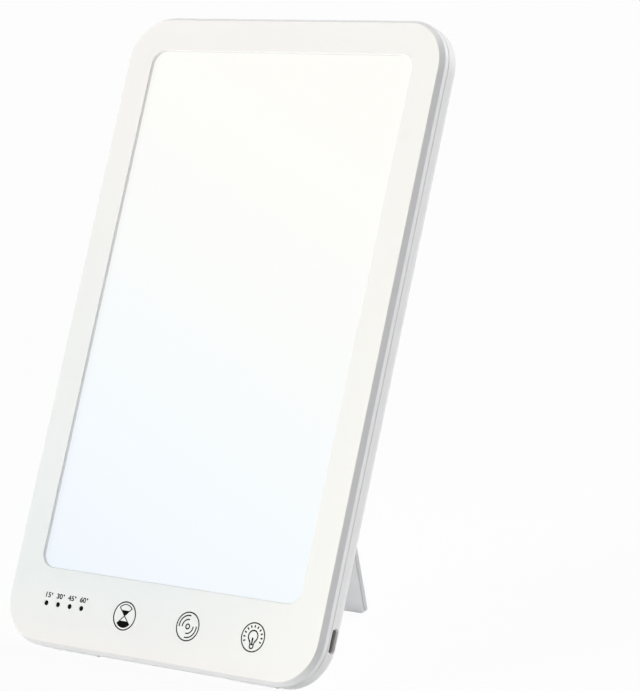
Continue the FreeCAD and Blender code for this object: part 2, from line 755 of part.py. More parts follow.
def make_back_pads():
    """Four round rubber pads, for the lamp lying on its back with the leg folded."""
    for name, spot in back_pad_places.items():
        body = new_piece(f"back_pad_{name}", in_the_slab)
        low, high = case_back - size["back_pad_proud"], case_back + size["back_pad_sunk"]
        add(body, circles([spot], size["back_pad_radius"]), low, high)


def make_screws(label, places, seat, bite_top, radius, head_radius, head_height):
    """A group of screws, heads to the back: their seat, the end of the thread, and their sizes."""
    body = new_piece(label, in_the_slab)
    add(body, circles(places, head_radius), seat - head_height, seat)
    add(body, circles(places, radius), seat, bite_top)
    recess = crosses(places, head_radius * CROSS_REACH, size["recess_cross"])
    cut(body, recess, seat - head_height, seat - head_height + size["cross_depth"])


CROSS_REACH = 0.6  # arms of a cross recess, as a share of the screw head's radius


def make_all_screws():
    case_seat = case_back + size["case_head_depth"] + size["case_head_height"]
    make_screws(
        "case_screws", case_screw_places, case_seat, seam + size["screw_bite"],
        size["case_screw_radius"], size["case_head_radius"], size["case_head_height"],
    )
    small_sizes = (size["small_screw_radius"], size["small_head_radius"], size["small_head_height"])
    bite = size["small_screw_bite"]
    make_screws("tray_screws", tray_screw_places, tray_back, reflector_back + bite, *small_sizes)
    make_screws("board_screws", board_screw_places, board_back, board_front + bite, *small_sizes)


# ---------------------------------------------------------------------------------------------
# Light: gasket, opal panel, film, light guide, reflector, tray and LED boards
# ---------------------------------------------------------------------------------------------


def make_optical_sheets():
    """The flat sheets between the bezel and the light tray, front to back."""
    gasket = new_piece("dust_gasket", in_the_slab)
    add(gasket, sheet_outline(half_sheet, size["window_overlap"]), gasket_back, bezel_back)
    opening = sheet_outline(half_window + size["gasket_setback"], size["gasket_setback"])
    cut(gasket, opening, gasket_back, bezel_back)

    full_sheets = [
        ("diffuser_panel", diffuser_back, gasket_back),
        ("diffusion_film", film_back, diffuser_back),
    ]
    for label, low, high in full_sheets:
        body = new_piece(label, in_the_slab)
        add(body, sheet_outline(half_sheet, size["window_overlap"]), low, high)

    guide_sheets = [
        ("light_guide_plate", guide_back, film_back),
        ("reflector_sheet", reflector_back, guide_back),
    ]
    for label, low, high in guide_sheets:
        body = new_piece(label, in_the_slab)
        add(body, sheet_outline(half_guide, size["window_overlap"]), low, high)


def make_light_tray():
    """The folded metal tray that holds the sheets, with screw ears and a notch for each LED tail."""
    body = new_piece("light_tray", in_the_slab)
    rim = bezel_back - fit_gap
    add(body, rectangle(-half_tray, half_tray, tray_bottom, tray_top), tray_back, rim)
    inside = rectangle(-half_tray_inside, half_tray_inside, tray_inside_bottom, tray_inside_top)
    cut(body, inside, reflector_back, rim)
    half_ear = size["ear_length"] / 2
    ear_end = side_channel + size["small_boss_radius"]
    for height in ear_heights:
        ear = rectangle(-ear_end, ear_end, height - half_ear, height + half_ear)
        add(body, ear, tray_back, reflector_back)
    cut(body, circles(tray_screw_places, size["small_screw_radius"] + fit_gap), tray_back, reflector_back)
    notch_inner = led_board_face - size["optic_gap"]
    for side in (-1, 1):
        ends = sorted((side * notch_inner, side * half_tray_inside), key=lambda end: end.value)
        cut(body, rectangle(*ends, tray_bottom, tray_inside_bottom), reflector_back, rim)


def make_led_boards():
    """An LED board inside each long wall of the tray, with warm and daylight LEDs in turn."""
    board_low = reflector_back + fit_gap / 2
    board_high = board_low + size["led_board_height"]
    board_end = tray_inside_top - size["optic_gap"]
    shoulder = tray_inside_bottom + size["optic_gap"]
    tail_end = tray_bottom - size["led_tail_length"]
    outline = polygon([
        (tail_end, board_low), (board_end, board_low), (board_end, board_high),
        (shoulder, board_high), (shoulder, board_low + size["led_tail_height"]),
        (tail_end, board_low + size["led_tail_height"]),
    ])
    middle = board_low + size["led_board_height"] / 2
    led_pitch = size["window_height"] / size["led_count"]
    led_heights = [
        window_bottom + (2 * index + 1) * led_pitch / 2
        for index in range(int(size["led_count"].value))
    ]
    for name, side in (("left", -1), ("right", 1)):
        board = new_piece(f"led_board_{name}", in_the_slab)
        low, high = sorted((side * led_board_face, side * half_tray_inside), key=lambda end: end.value)
        add(board, outline, low, high, along="X")
        low, high = sorted((side * led_face, side * led_board_face), key=lambda end: end.value)
        for tone, heights in (("warm", led_heights[0::2]), ("daylight", led_heights[1::2])):
            leds = new_piece(f"{tone}_leds_{name}", in_the_slab)
            spots = [(height, middle) for height in heights]
            add(leds, rectangles(spots, size["led_length"], size["led_height"]), low, high, along="X")


# ---------------------------------------------------------------------------------------------
# Electronics behind the bottom of the bezel
# ---------------------------------------------------------------------------------------------


def make_control_board():
    """The control board, stepped round the bottom case screws."""
    body = new_piece("control_board", in_the_slab)
    outline = polygon([
        (-board_shoulder_x, board_bottom), (board_shoulder_x, board_bottom),
        (board_shoulder_x, board_shoulder_y), (board_end_x, board_shoulder_y),
        (board_end_x, board_top), (-board_end_x, board_top),
        (-board_end_x, board_shoulder_y), (-board_shoulder_x, board_shoulder_y),
    ])
    add(body, outline, board_back, board_front)
    holes = circles(board_screw_places, size["small_screw_radius"] + fit_gap)
    cut(body, holes, board_back, board_front)


def make_usb_socket():
    """The charging socket: a folded steel shell and the tongue with its contacts."""
    shell = new_piece("usb_socket_shell", in_the_slab)
    sheet_metal = size["usb_sheet"]

    def section(inset):
        half_length = size["usb_length"] / 2 - inset
        half_thickness = size["usb_thickness"] / 2 - inset
        return rounded_rectangle(
            size["usb_height"] - half_length, size["usb_height"] + half_length,
            usb_z - half_thickness, usb_z + half_thickness, half_thickness * 2 * OBROUND,
        )

    add(shell, section(as_size(0)), usb_inner_x, usb_mouth_x, along="X")
    cut(shell, section(sheet_metal), usb_inner_x + sheet_metal, usb_mouth_x, along="X")
    tongue = new_piece("usb_socket_tongue", in_the_slab)
    plug_stop = usb_inner_x + sheet_metal
    half_width = size["tongue_width"] / 2
    half_thick = size["tongue_thickness"] / 2
    blade = rectangle(
        size["usb_height"] - half_width, size["usb_height"] + half_width,
        usb_z - half_thick, usb_z + half_thick,
    )
    add(tongue, blade, plug_stop, usb_mouth_x - size["tongue_setback"], along="X")


def make_touch_fields():
    """Behind each touch field, a copper electrode on the bezel and a foam column to the board."""
    pad_back = bezel_back - size["touch_pad_thickness"]
    for name, spot in touch_places.items():
        pad = new_piece(f"touch_pad_{name}", in_the_slab)
        add(pad, circles([spot], size["touch_radius"]), pad_back, bezel_back)
        column = new_piece(f"touch_column_{name}", in_the_slab)
        add(column, circles([spot], size["touch_column_radius"]), board_front, pad_back)


def make_indicators():
    """Four smoked light pipes on one bar, flush with the face, and the LEDs behind them."""
    pipes = new_piece("indicator_light_pipes", in_the_slab)
    half_bar = size["pipe_bar_width"] / 2
    bar = rectangle(
        dot_places[0][0] - half_bar, dots_end_x + half_bar,
        size["dot_height"] - half_bar, size["dot_height"] + half_bar,
    )
    add(pipes, bar, bezel_back - size["pipe_bar_thickness"], bezel_back)
    add(pipes, circles(dot_places, size["dot_radius"]), bezel_back, as_size(0))
    leds = new_piece("indicator_leds", in_the_slab)
    chip = size["indicator_size"]
    add(leds, rectangles(dot_places, chip, chip / 2), board_front, board_front + size["indicator_depth"])


def make_board_parts():
    """What is soldered to the back of the control board: places, outline and height of each."""
    touch_y = size["touch_height"]

    def chips(label, places, width, length, height):
        body = new_piece(label, in_the_slab)
        add(body, rectangles(places, size[width], size[length]), board_back - size[height], board_back)

    chips(
        "microcontroller", [touch_places["timer"]],
        "microcontroller_side", "microcontroller_side", "microcontroller_height",
    )
    chips(
        "touch_controller", [(dots_end_x, touch_y)],
        "touch_chip_side", "touch_chip_side", "touch_chip_height",
    )
    chips(
        "power_inductor", [touch_places["brightness"]],
        "inductor_side", "inductor_side", "inductor_height",
    )
    driver_x = right_screw_x - size["driver_gap"]
    driver_places = [(driver_x, touch_y - size["driver_step"]), (driver_x, touch_y + size["driver_step"])]
    chips("led_drivers", driver_places, "driver_length", "driver_width", "driver_height")

    capacitors = new_piece("capacitors", in_the_slab)
    recess_side = half_recess + size["recess_wall"]
    can_x = recess_side + size["capacitor_gap"] + size["capacitor_radius"]
    can_step = size["capacitor_step"]
    can_places = [(can_x, touch_y - can_step), (can_x, touch_y + can_step)]
    can_top = board_back - size["capacitor_height"]
    add(capacitors, circles(can_places, size["capacitor_radius"]), can_top, board_back)


def make_led_connectors():
    """On the board, a connector under the tail of each LED board."""
    tail_end = tray_bottom - size["led_tail_length"]
    for name, side in (("left", -1), ("right", 1)):
        body = new_piece(f"led_connector_{name}", in_the_slab)
        middle = side * (led_board_face + half_tray_inside) / 2
        half_width = size["connector_width"] / 2
        bottom = tail_end - size["connector_length"]
        outline = rectangle(middle - half_width, middle + half_width, bottom, tail_end)
        add(body, outline, board_back - size["connector_height"], board_back)


# ---------------------------------------------------------------------------------------------
# Folding leg
# ---------------------------------------------------------------------------------------------


def make_leg():
    """The leg: a flat plate with a barrel, a heel that stops it, and a foot cut level."""
    body = new_piece("kickstand_leg", on_the_leg)
    side_view = polygon([
        (-leg_outer_length, leg_outer_z), (heel_length, leg_outer_z),
        (heel_length, leg_inner_z), (-leg_inner_length, leg_inner_z),
    ])
    add(body, side_view, -half_leg, half_leg, along="X")
    add(body, circles([(0, 0)], size["barrel_radius"]), -half_leg, half_leg, along="X")
    round_edges(body, is_foot_corner, size["leg_corner_radius"])
    bevel_edges(body, is_face_edge, size["leg_edge_bevel"], size["leg_edge_bevel"])
    hole = circles([(0, 0)], size["pin_radius"])
    pin_inner_end = half_leg - size["pin_in_leg"]
    cut(body, hole, pin_inner_end, half_leg, along="X")
    cut(body, hole, -half_leg, -pin_inner_end, along="X")


def is_foot_corner(edge):
    """True for the two edges through the leg's thickness at its foot."""
    box = edge.BoundBox
    at_side = abs(abs(box.XMin) - half_leg.value) < TOUCH and box.XLength < TOUCH
    through = abs(box.ZLength - size["leg_thickness"].value) < TOUCH
    return at_side and through and box.YMax < -half_leg.value


def is_face_edge(edge):
    """True for the edges round the leg's two flat faces, below the barrel and at the heel."""
    on_face = lies_at(edge, "Z", leg_outer_z) or lies_at(edge, "Z", leg_inner_z)
    return on_face and edge.BoundBox.YMax < -size["barrel_radius"].value - TOUCH


def make_hinge_pins():
    """A steel pin in each side of the leg, which turns in the rear shell."""
    inner = half_leg - size["pin_in_leg"]
    outer = half_recess + size["pin_in_case"]
    for name, side in (("left", -1), ("right", 1)):
        body = new_piece(f"hinge_pin_{name}", on_the_leg)
        low, high = sorted((side * inner, side * outer), key=lambda end: end.value)
        add(body, circles([(0, 0)], size["pin_radius"]), low, high, along="X")


# ---------------------------------------------------------------------------------------------
# Build, check and write
# ---------------------------------------------------------------------------------------------


def check_document():
    document.recompute()
    for item in document.Objects:
        if "Invalid" in item.State or "Error" in item.State:
            raise RuntimeError(f"{item.Label} failed: {item.State}")


def export_pieces():
    os.makedirs("parts", exist_ok=True)
    for item in document.Objects:
        if item.TypeId != "PartDesign::Body":
            continue
        shape = item.Shape
        if shape.isNull() or not shape.isValid():
            raise RuntimeError(f"{item.Label} has no valid shape")
        shape.exportStep(os.path.join("parts", f"{item.Label}.step"))
        print(f"{item.Label}: {len(shape.Solids)} solid(s), {shape.Volume:.1f} cubic mm")


make_front_bezel()
make_rear_shell()
make_floor_strips()
make_back_pads()
make_all_screws()
make_optical_sheets()
make_light_tray()
make_led_boards()
make_control_board()
make_usb_socket()
make_touch_fields()
make_indicators()
make_board_parts()
make_led_connectors()
make_leg()
make_hinge_pins()
check_document()
export_pieces()
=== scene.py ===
import json
import math

import bpy
from mathutils import Matrix, Vector

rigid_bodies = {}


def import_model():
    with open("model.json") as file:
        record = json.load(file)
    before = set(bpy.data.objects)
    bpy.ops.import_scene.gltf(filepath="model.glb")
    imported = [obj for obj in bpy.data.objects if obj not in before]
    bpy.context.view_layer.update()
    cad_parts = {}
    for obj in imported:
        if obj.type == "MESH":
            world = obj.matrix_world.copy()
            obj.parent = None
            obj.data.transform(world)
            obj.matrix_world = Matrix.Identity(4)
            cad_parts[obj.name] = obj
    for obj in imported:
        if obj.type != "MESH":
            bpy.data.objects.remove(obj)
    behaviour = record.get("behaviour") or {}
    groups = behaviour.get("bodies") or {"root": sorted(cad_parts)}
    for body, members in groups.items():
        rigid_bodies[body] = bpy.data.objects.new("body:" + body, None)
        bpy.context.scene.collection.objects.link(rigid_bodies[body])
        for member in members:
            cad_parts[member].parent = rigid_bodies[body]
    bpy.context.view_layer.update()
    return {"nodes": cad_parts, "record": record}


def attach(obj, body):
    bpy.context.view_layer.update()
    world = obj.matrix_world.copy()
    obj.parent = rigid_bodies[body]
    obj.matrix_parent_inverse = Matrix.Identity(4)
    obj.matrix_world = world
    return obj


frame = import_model()
bpy.ops.object.select_all(action="DESELECT")

# ---------------------------------------------------------------------------------------------
# Front bezel
# One moulding of white ABS from a finely blasted tool: a flat face with a bevel round it and a
# short side wall.  Six screws from behind hold the rear shell to it.
# ---------------------------------------------------------------------------------------------

MM = 0.001  # one millimetre in metres; a pattern 6 mm wide has the scale 1 / (6 * MM)


def linear(hex_colour):
    """An sRGB hex value as the linear colour that a shader takes."""
    shares = [int(hex_colour[i:i + 2], 16) / 255 for i in (0, 2, 4)]
    return [s / 12.92 if s <= 0.04045 else ((s + 0.055) / 1.055) ** 2.4 for s in shares] + [1.0]


def new_material(name):
    """A material with nothing in it yet."""
    material = bpy.data.materials.new(name)
    material.use_nodes = True
    material.node_tree.nodes.clear()
    return material


def add_node(material, kind, inputs=None, out=None, **settings):
    """Adds a node with its settings; each input gets a value or another node's output.

    Returns the output of that name, or else the first one in use.
    """
    node = material.node_tree.nodes.new(kind)
    for name, value in settings.items():
        setattr(node, name, value)
    for name, value in (inputs or {}).items():
        if isinstance(value, bpy.types.NodeSocket):
            material.node_tree.links.new(value, node.inputs[name])
        else:
            node.inputs[name].default_value = value
    in_use = [output for output in node.outputs if output.enabled]
    return node.outputs[out] if out else in_use[0] if in_use else None


def dress(material, *names):
    """Gives CAD nodes a finish."""
    for name in names:
        for slot in frame["nodes"][name].material_slots:
            slot.material = material


# The slab leans, so its own directions come from the pads on its back, and the place of its face
# and of its bottom edge from the bezel.
mounts = {mount["name"]: mount for mount in frame["record"]["mounts"]}
across = Vector((1, 0, 0))
outward = -Vector(mounts["back_pad_top_left"]["axis"]).normalized()
upward = outward.cross(across)


def reach(name, direction):
    """The lowest and the highest place of a CAD node along a direction."""
    places = [direction.dot(vertex.co) for vertex in frame["nodes"][name].data.vertices]
    return min(places), max(places)


case_bottom, case_top = reach("front_bezel", upward)
case_right = reach("front_bezel", across)[1]
face_level = reach("front_bezel", outward)[1]
panel_bottom = reach("diffuser_panel", upward)[0]

BEVEL_SHADE_DEPTH = 0.6  # behind the face, where the painted shade of the bevel is full
ABS_IOR = 1.53
COLOUR_A, COLOUR_B = 6, 7  # where a Mix node takes its two colours

# Satin ABS is a warm white; the slow ripple of moulding shows only in its faint highlights.  The
# face is painted with the light of the panel: cool under the window, and paler towards the top
# and the right.  Its bevel and side wall are painted a neutral, slightly greyer white as shade.
satin_abs = new_material("satin_white_abs")
place = add_node(satin_abs, "ShaderNodeTexCoord", out="Object")
tint = linear("FAF8F3")
# The first three tones are painted light from the panel; the last is painted shade on the bevel
# and side wall.
for direction, start, end, tone in (
    (upward, case_bottom, panel_bottom, "EFF4F1"),
    (upward, panel_bottom, case_top, "FEFBF5"),
    (across, 0.0, case_right, "FEFDF6"),
    (outward, face_level, face_level - BEVEL_SHADE_DEPTH * MM, "F5F5F4"),
):
    along = add_node(satin_abs, "ShaderNodeVectorMath", {
        0: place, 1: direction,
    }, operation="DOT_PRODUCT")
    share = add_node(satin_abs, "ShaderNodeMapRange", {
        "Value": along, "From Min": start, "From Max": end,
    })
    tint = add_node(satin_abs, "ShaderNodeMix", {
        "Factor": share, COLOUR_A: tint, COLOUR_B: linear(tone),
    }, data_type="RGBA")
ripple = add_node(satin_abs, "ShaderNodeTexNoise", {
    "Vector": place, "Scale": 1 / (6 * MM), "Detail": 3.0,
})
gloss = add_node(satin_abs, "ShaderNodeMapRange", {
    "Value": ripple, "To Min": 0.46, "To Max": 0.56,
})
relief = add_node(satin_abs, "ShaderNodeBump", {"Height": ripple, "Distance": 0.006 * MM})
skin = add_node(satin_abs, "ShaderNodeBsdfPrincipled", {
    "Base Color": tint, "Roughness": gloss, "Normal": relief, "IOR": ABS_IOR,
})
add_node(satin_abs, "ShaderNodeOutputMaterial", {"Surface": skin})
dress(satin_abs, "front_bezel")

# ---------------------------------------------------------------------------------------------
# Minutes over the indicator dots
# 15, 30, 45 and 60, each with a minute mark, pad-printed on the bezel in black ink: a film a
# few hundredths of a millimetre thick.
# ---------------------------------------------------------------------------------------------

INK_FILM = 0.03
MINUTES = ("15", "30", "45", "60")
LETTER_HALF_DEPTH = 0.5  # the letters are drawn one unit thick, and flattened to the ink film
LETTER_WELD = 0.0001
DIGIT_HEIGHT = 1.85
DIGIT_STRETCH = 1.16  # wider than the plain letters
DIGIT_FEET = 17.6  # above the bottom of the case
DIGIT_WEIGHT = 0.04  # how far the strokes swell on each side, in the letters' own units
MARK_GAP = 0.3
MARK_WIDTH = 0.65
MARK_LENGTH = 0.8
MARK_SIDES = 16
BAR_END = 1.6  # the light pipes' bar past its first and its last dot

slab = Matrix((across, upward, outward)).transposed().to_4x4()
slab.translation = upward * case_bottom + outward * face_level


def finish_on_slab(piece, name, material, x, y):
    """Names a piece that was drawn flat in millimetres, and puts it at x, y on the face."""
    bpy.ops.object.select_all(action="DESELECT")
    piece.select_set(True)
    bpy.context.view_layer.objects.active = piece
    piece.name = name
    piece.matrix_world = slab @ Matrix.Scale(MM, 4) @ Matrix.Translation((x, y, 0))
    bpy.ops.object.transform_apply(location=True, rotation=True, scale=True)
    piece.data.materials.clear()
    piece.data.materials.append(material)
    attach(piece, "lamp")


# Pad-printing ink is a flat soot black, a little uneven where the pad lifted, and hardly shines.
printing_ink = new_material("black_printing_ink")
place = add_node(printing_ink, "ShaderNodeTexCoord", out="Object")
lift = add_node(printing_ink, "ShaderNodeTexNoise", {
    "Vector": place, "Scale": 1 / (0.8 * MM), "Detail": 3.0,
})
tint = add_node(printing_ink, "ShaderNodeMix", {
    "Factor": lift, COLOUR_A: linear("020202"), COLOUR_B: linear("0C0C0B"),
}, data_type="RGBA")
gloss = add_node(printing_ink, "ShaderNodeMapRange", {
    "Value": lift, "To Min": 0.65, "To Max": 0.85,
})
skin = add_node(printing_ink, "ShaderNodeBsdfPrincipled", {
    "Base Color": tint, "Roughness": gloss, "IOR": 1.5, "Specular IOR Level": 0.04,
})
add_node(printing_ink, "ShaderNodeOutputMaterial", {"Surface": skin})

bar_left, bar_right = (edge / MM for edge in reach("indicator_light_pipes", across))
dot_step = (bar_right - bar_left - 2 * BAR_END) / (len(MINUTES) - 1)
for index, digits in enumerate(MINUTES):
    bpy.ops.object.select_all(action="DESELECT")
    bpy.ops.object.text_add()
    numeral = bpy.context.object
    numeral.data.body = digits
    numeral.data.align_x = "CENTER"
    numeral.data.extrude = LETTER_HALF_DEPTH
    bpy.ops.object.convert(target="MESH")
    numeral = bpy.context.object
    bpy.ops.object.mode_set(mode="EDIT")
    bpy.ops.mesh.select_all(action="SELECT")
    bpy.ops.mesh.remove_doubles(threshold=LETTER_WELD)
    bpy.ops.transform.shrink_fatten(value=DIGIT_WEIGHT)
    bpy.ops.object.mode_set(mode="OBJECT")
    scale = DIGIT_HEIGHT / max(vertex.co.y for vertex in numeral.data.vertices)
    numeral.scale = (scale * DIGIT_STRETCH, scale, INK_FILM / LETTER_HALF_DEPTH)
    bpy.ops.object.transform_apply(location=False, rotation=False, scale=True)
    # The minute mark is a short rounded stroke beside the head of the digits.
    mark_x = max(vertex.co.x for vertex in numeral.data.vertices) + MARK_GAP + MARK_WIDTH / 2
    mark_y = DIGIT_HEIGHT - MARK_LENGTH / 2
    bpy.ops.object.mode_set(mode="EDIT")
    bpy.ops.mesh.primitive_cylinder_add(
        vertices=MARK_SIDES, radius=MARK_WIDTH / 2, depth=2 * INK_FILM,
        location=(mark_x, mark_y, 0),
    )
    bpy.ops.transform.resize(
        value=(1, MARK_LENGTH / MARK_WIDTH, 1), center_override=(mark_x, mark_y, 0)
    )
    bpy.ops.object.mode_set(mode="OBJECT")
    dot_x = bar_left + BAR_END + index * dot_step
    finish_on_slab(numeral, f"print_minutes_{digits}", printing_ink, dot_x, DIGIT_FEET)

# ---------------------------------------------------------------------------------------------
# Touch field symbols
# Three rings printed in the same ink, one over each touch electrode: an hourglass for the timer,
# ripples for the tone of the light and a bulb with rays for its brightness.
# ---------------------------------------------------------------------------------------------

RING_RADIUS = 5.08
RING_LINE = 0.46
CIRCLE_SIDES = 96
SYMBOL_WELD = 0.0005


def draw_ring(radius, line, centre=(0, 0)):
    """Draws a ring in the open mesh: a circle whose edge is extruded inwards."""
    bpy.ops.mesh.primitive_circle_add(
        vertices=CIRCLE_SIDES, radius=radius + line / 2, location=(*centre, 0)
    )
    bpy.ops.mesh.extrude_edges_move()
    inner = (radius - line / 2) / (radius + line / 2)
    bpy.ops.transform.resize(value=(inner, inner, 1), center_override=(*centre, 0))
    bpy.ops.mesh.select_linked()


def trim(point, away):
    """Cuts the selected shape on a line through a point; away points to the side that goes."""
    bpy.ops.mesh.bisect(plane_co=(*point, 0), plane_no=(*away, 0), clear_outer=True)


def draw_bar(width, height, centre, rounding=0.0):
    """Draws an upright bar in the open mesh, whose corners may be rounded."""
    bpy.ops.mesh.primitive_plane_add(size=1, location=(*centre, 0))
    bpy.ops.transform.resize(value=(width, height, 1), center_override=(*centre, 0))
    if rounding:
        bpy.ops.mesh.bevel(offset=rounding, affect="VERTICES", segments=3)
        bpy.ops.mesh.select_linked()


def start_symbol():
    """Starts a symbol: empties a new circle's mesh, leaves it open and draws the ring in it."""
    bpy.ops.object.select_all(action="DESELECT")
    bpy.ops.mesh.primitive_circle_add()
    drawing = bpy.context.object
    bpy.ops.object.mode_set(mode="EDIT")
    bpy.ops.mesh.delete(type="VERT")
    draw_ring(RING_RADIUS, RING_LINE)
    return drawing


def finish_symbol(drawing, name, pad):
    """Gives the drawing the thickness of the ink and lays it over the middle of its electrode."""
    bpy.ops.mesh.select_all(action="SELECT")
    bpy.ops.mesh.remove_doubles(threshold=SYMBOL_WELD)
    bpy.ops.object.mode_set(mode="OBJECT")
    for polygon in drawing.data.polygons:
        if polygon.normal.z < 0:
            polygon.flip()
    film = drawing.modifiers.new("film", "SOLIDIFY")
    film.thickness = INK_FILM
    film.offset = 1.0  # all of it outwards
    bpy.ops.object.modifier_apply(modifier="film")
    x = sum(reach(pad, across)) / 2 / MM
    y = (sum(reach(pad, upward)) / 2 - case_bottom) / MM
    finish_on_slab(drawing, name, printing_ink, x, y)


# Hourglass: two bulbs, each a disc cut along two lines that cross at the waist.  An inset leaves
# the glass as a line, and what is inside, cut level, is the sand.
GLASS_HALF = 2.72
GLASS_SHOULDER = 2.95
GLASS_ARCH = 1.2
GLASS_LINE = 0.35
SAND_LEVELS = {1: 2.0, -1: -1.87}  # top of the sand in the upper and in the lower bulb

arch_radius = (GLASS_HALF ** 2 + GLASS_ARCH ** 2) / (2 * GLASS_ARCH)
arch_centre = GLASS_SHOULDER + GLASS_ARCH - arch_radius
half_waist = GLASS_LINE / 2 * math.hypot(GLASS_HALF, GLASS_SHOULDER) / GLASS_SHOULDER
drawing = start_symbol()
for half, level in SAND_LEVELS.items():
    bpy.ops.mesh.primitive_circle_add(
        vertices=CIRCLE_SIDES, radius=arch_radius + GLASS_LINE / 2, fill_type="NGON",
        location=(0, half * arch_centre, 0),
    )
    for side in (1, -1):
        trim((side * half_waist, 0), (side * GLASS_SHOULDER, -half * GLASS_HALF))
        bpy.ops.mesh.select_linked()
    trim((0, 0), (0, -half))
    bpy.ops.mesh.select_linked()
    bpy.ops.mesh.inset(thickness=GLASS_LINE)
    bpy.ops.mesh.split()
    trim((0, level), (0, 1))
finish_symbol(drawing, "print_timer_symbol", "touch_pad_timer")

# Ripples: a small ring between two pairs of arcs, whose ends are rounded.
RIPPLE_LINE = 0.46
RIPPLE_CORE = 0.84
RIPPLE_RADII = (2.5, 3.95)
RIPPLE_ENDS = (80, 186)  # degrees, from one end of an arc to the other
END_ROUNDING = 0.4  # at the ends of a line, as a share of its width

drawing = start_symbol()
draw_ring(RIPPLE_CORE, RIPPLE_LINE)
for radius in RIPPLE_RADII:
    draw_ring(radius, RIPPLE_LINE)
    for end, side in zip(RIPPLE_ENDS, (1, -1)):
        angle = math.radians(end)
        trim((0, 0), (side * math.sin(angle), -side * math.cos(angle)))
        bpy.ops.mesh.bevel(offset=RIPPLE_LINE * END_ROUNDING, affect="VERTICES", segments=3)
        bpy.ops.mesh.select_linked()
    bpy.ops.mesh.duplicate()
    bpy.ops.transform.rotate(value=math.pi, orient_axis="Z", center_override=(0, 0, 0))
finish_symbol(drawing, "print_tone_symbol", "touch_pad_tone")

# Bulb: a ring cut open below, whose ends are drawn down to the neck, over a screw cap.
BULB_LINE = 0.48
BULB_RADIUS = 2.05
BULB_CENTRE = 0.35
BULB_CUT = -1.15
NECK_HALF = 0.78
NECK_LEVEL = -2.3
CAP_CENTRE = -3.2
FILAMENT_WIDTH = 0.62
FILAMENT_TOP = -0.1
FILAMENT_ROUNDING = 0.3  # as a share of its width
RAY_COUNT = 11
RAY_STEP = 22.5  # degrees
RAY_INNER = 3.4
RAY_OUTER = 4.35
RAY_WIDTH = 0.56

drawing = start_symbol()
draw_ring(BULB_RADIUS, BULB_LINE, (0, BULB_CENTRE))
trim((0, BULB_CUT), (0, -1))
bpy.ops.mesh.extrude_edges_move()
bpy.ops.transform.translate(value=(0, NECK_LEVEL - BULB_CUT, 0))
cut_half = math.sqrt(BULB_RADIUS ** 2 - (BULB_CUT - BULB_CENTRE) ** 2)
bpy.ops.transform.resize(value=(NECK_HALF / cut_half, 1, 1), center_override=(0, NECK_LEVEL, 0))
draw_ring(NECK_HALF, BULB_LINE, (0, CAP_CENTRE))
trim((0, CAP_CENTRE), (0, 1))
bpy.ops.mesh.extrude_edges_move()
bpy.ops.transform.translate(value=(0, NECK_LEVEL - BULB_LINE - CAP_CENTRE, 0))
draw_bar(2 * NECK_HALF + BULB_LINE, BULB_LINE, (0, NECK_LEVEL - BULB_LINE / 2))
draw_bar(
    FILAMENT_WIDTH, FILAMENT_TOP - NECK_LEVEL, (0, (FILAMENT_TOP + NECK_LEVEL) / 2),
    FILAMENT_WIDTH * FILAMENT_ROUNDING,
)
draw_bar(
    RAY_WIDTH, RAY_OUTER - RAY_INNER, (0, (RAY_OUTER + RAY_INNER) / 2), RAY_WIDTH * END_ROUNDING
)
half_sweep = math.radians(RAY_STEP * (RAY_COUNT - 1) / 2)
bpy.ops.transform.rotate(value=-half_sweep, orient_axis="Z", center_override=(0, 0, 0))
bpy.ops.mesh.spin(
    steps=RAY_COUNT - 1, angle=2 * half_sweep, dupli=True, center=(0, 0, 0), axis=(0, 0, 1)
)
finish_symbol(drawing, "print_brightness_symbol", "touch_pad_brightness")

# ---------------------------------------------------------------------------------------------
# Dust gasket
# A frame of closed-cell foam, die-cut and glued to the inside of the bezel, that seals the edge
# of the opal panel.
# ---------------------------------------------------------------------------------------------

# Cut foam is a dull mid grey, open in cells of about 0.4 mm.
gasket_foam = new_material("closed_cell_foam")
place = add_node(gasket_foam, "ShaderNodeTexCoord", out="Object")
cells = add_node(gasket_foam, "ShaderNodeTexVoronoi", {
    "Vector": place, "Scale": 1 / (0.4 * MM),
})
tint = add_node(gasket_foam, "ShaderNodeMix", {
    "Factor": cells, COLOUR_A: linear("626364"), COLOUR_B: linear("8E8F90"),
}, data_type="RGBA")
relief = add_node(gasket_foam, "ShaderNodeBump", {"Height": cells, "Distance": 0.08 * MM})
skin = add_node(gasket_foam, "ShaderNodeBsdfPrincipled", {
    "Base Color": tint, "Roughness": 0.9, "Normal": relief,
})
add_node(gasket_foam, "ShaderNodeOutputMaterial", {"Surface": skin})
dress(gasket_foam, "dust_gasket")

# ---------------------------------------------------------------------------------------------
# Opal panel
# A sheet of opal acrylic in the window, lit from behind.  Warm and daylight LEDs are mixed, and
# the light turns from warm at the top to cool at the bottom left.
# ---------------------------------------------------------------------------------------------

ACRYLIC_IOR = 1.49
PANEL_GLOW = 0.944
TONE_TURN = math.radians(23)  # the tones run this far from straight up, towards the right
# Each tone has its share of the way from the coolest corner to the warmest.
LIGHT_TONES = ((0.0, "F0F6FE"), (0.25, "F5FBFE"), (0.55, "FCFDFB"), (0.85, "FFFEF9"))

tone_way = upward * math.cos(TONE_TURN) + across * math.sin(TONE_TURN)
coolest = upward * reach("diffuser_panel", upward)[0] + across * reach("diffuser_panel", across)[0]
warmest = upward * reach("diffuser_panel", upward)[1] + across * reach("diffuser_panel", across)[1]

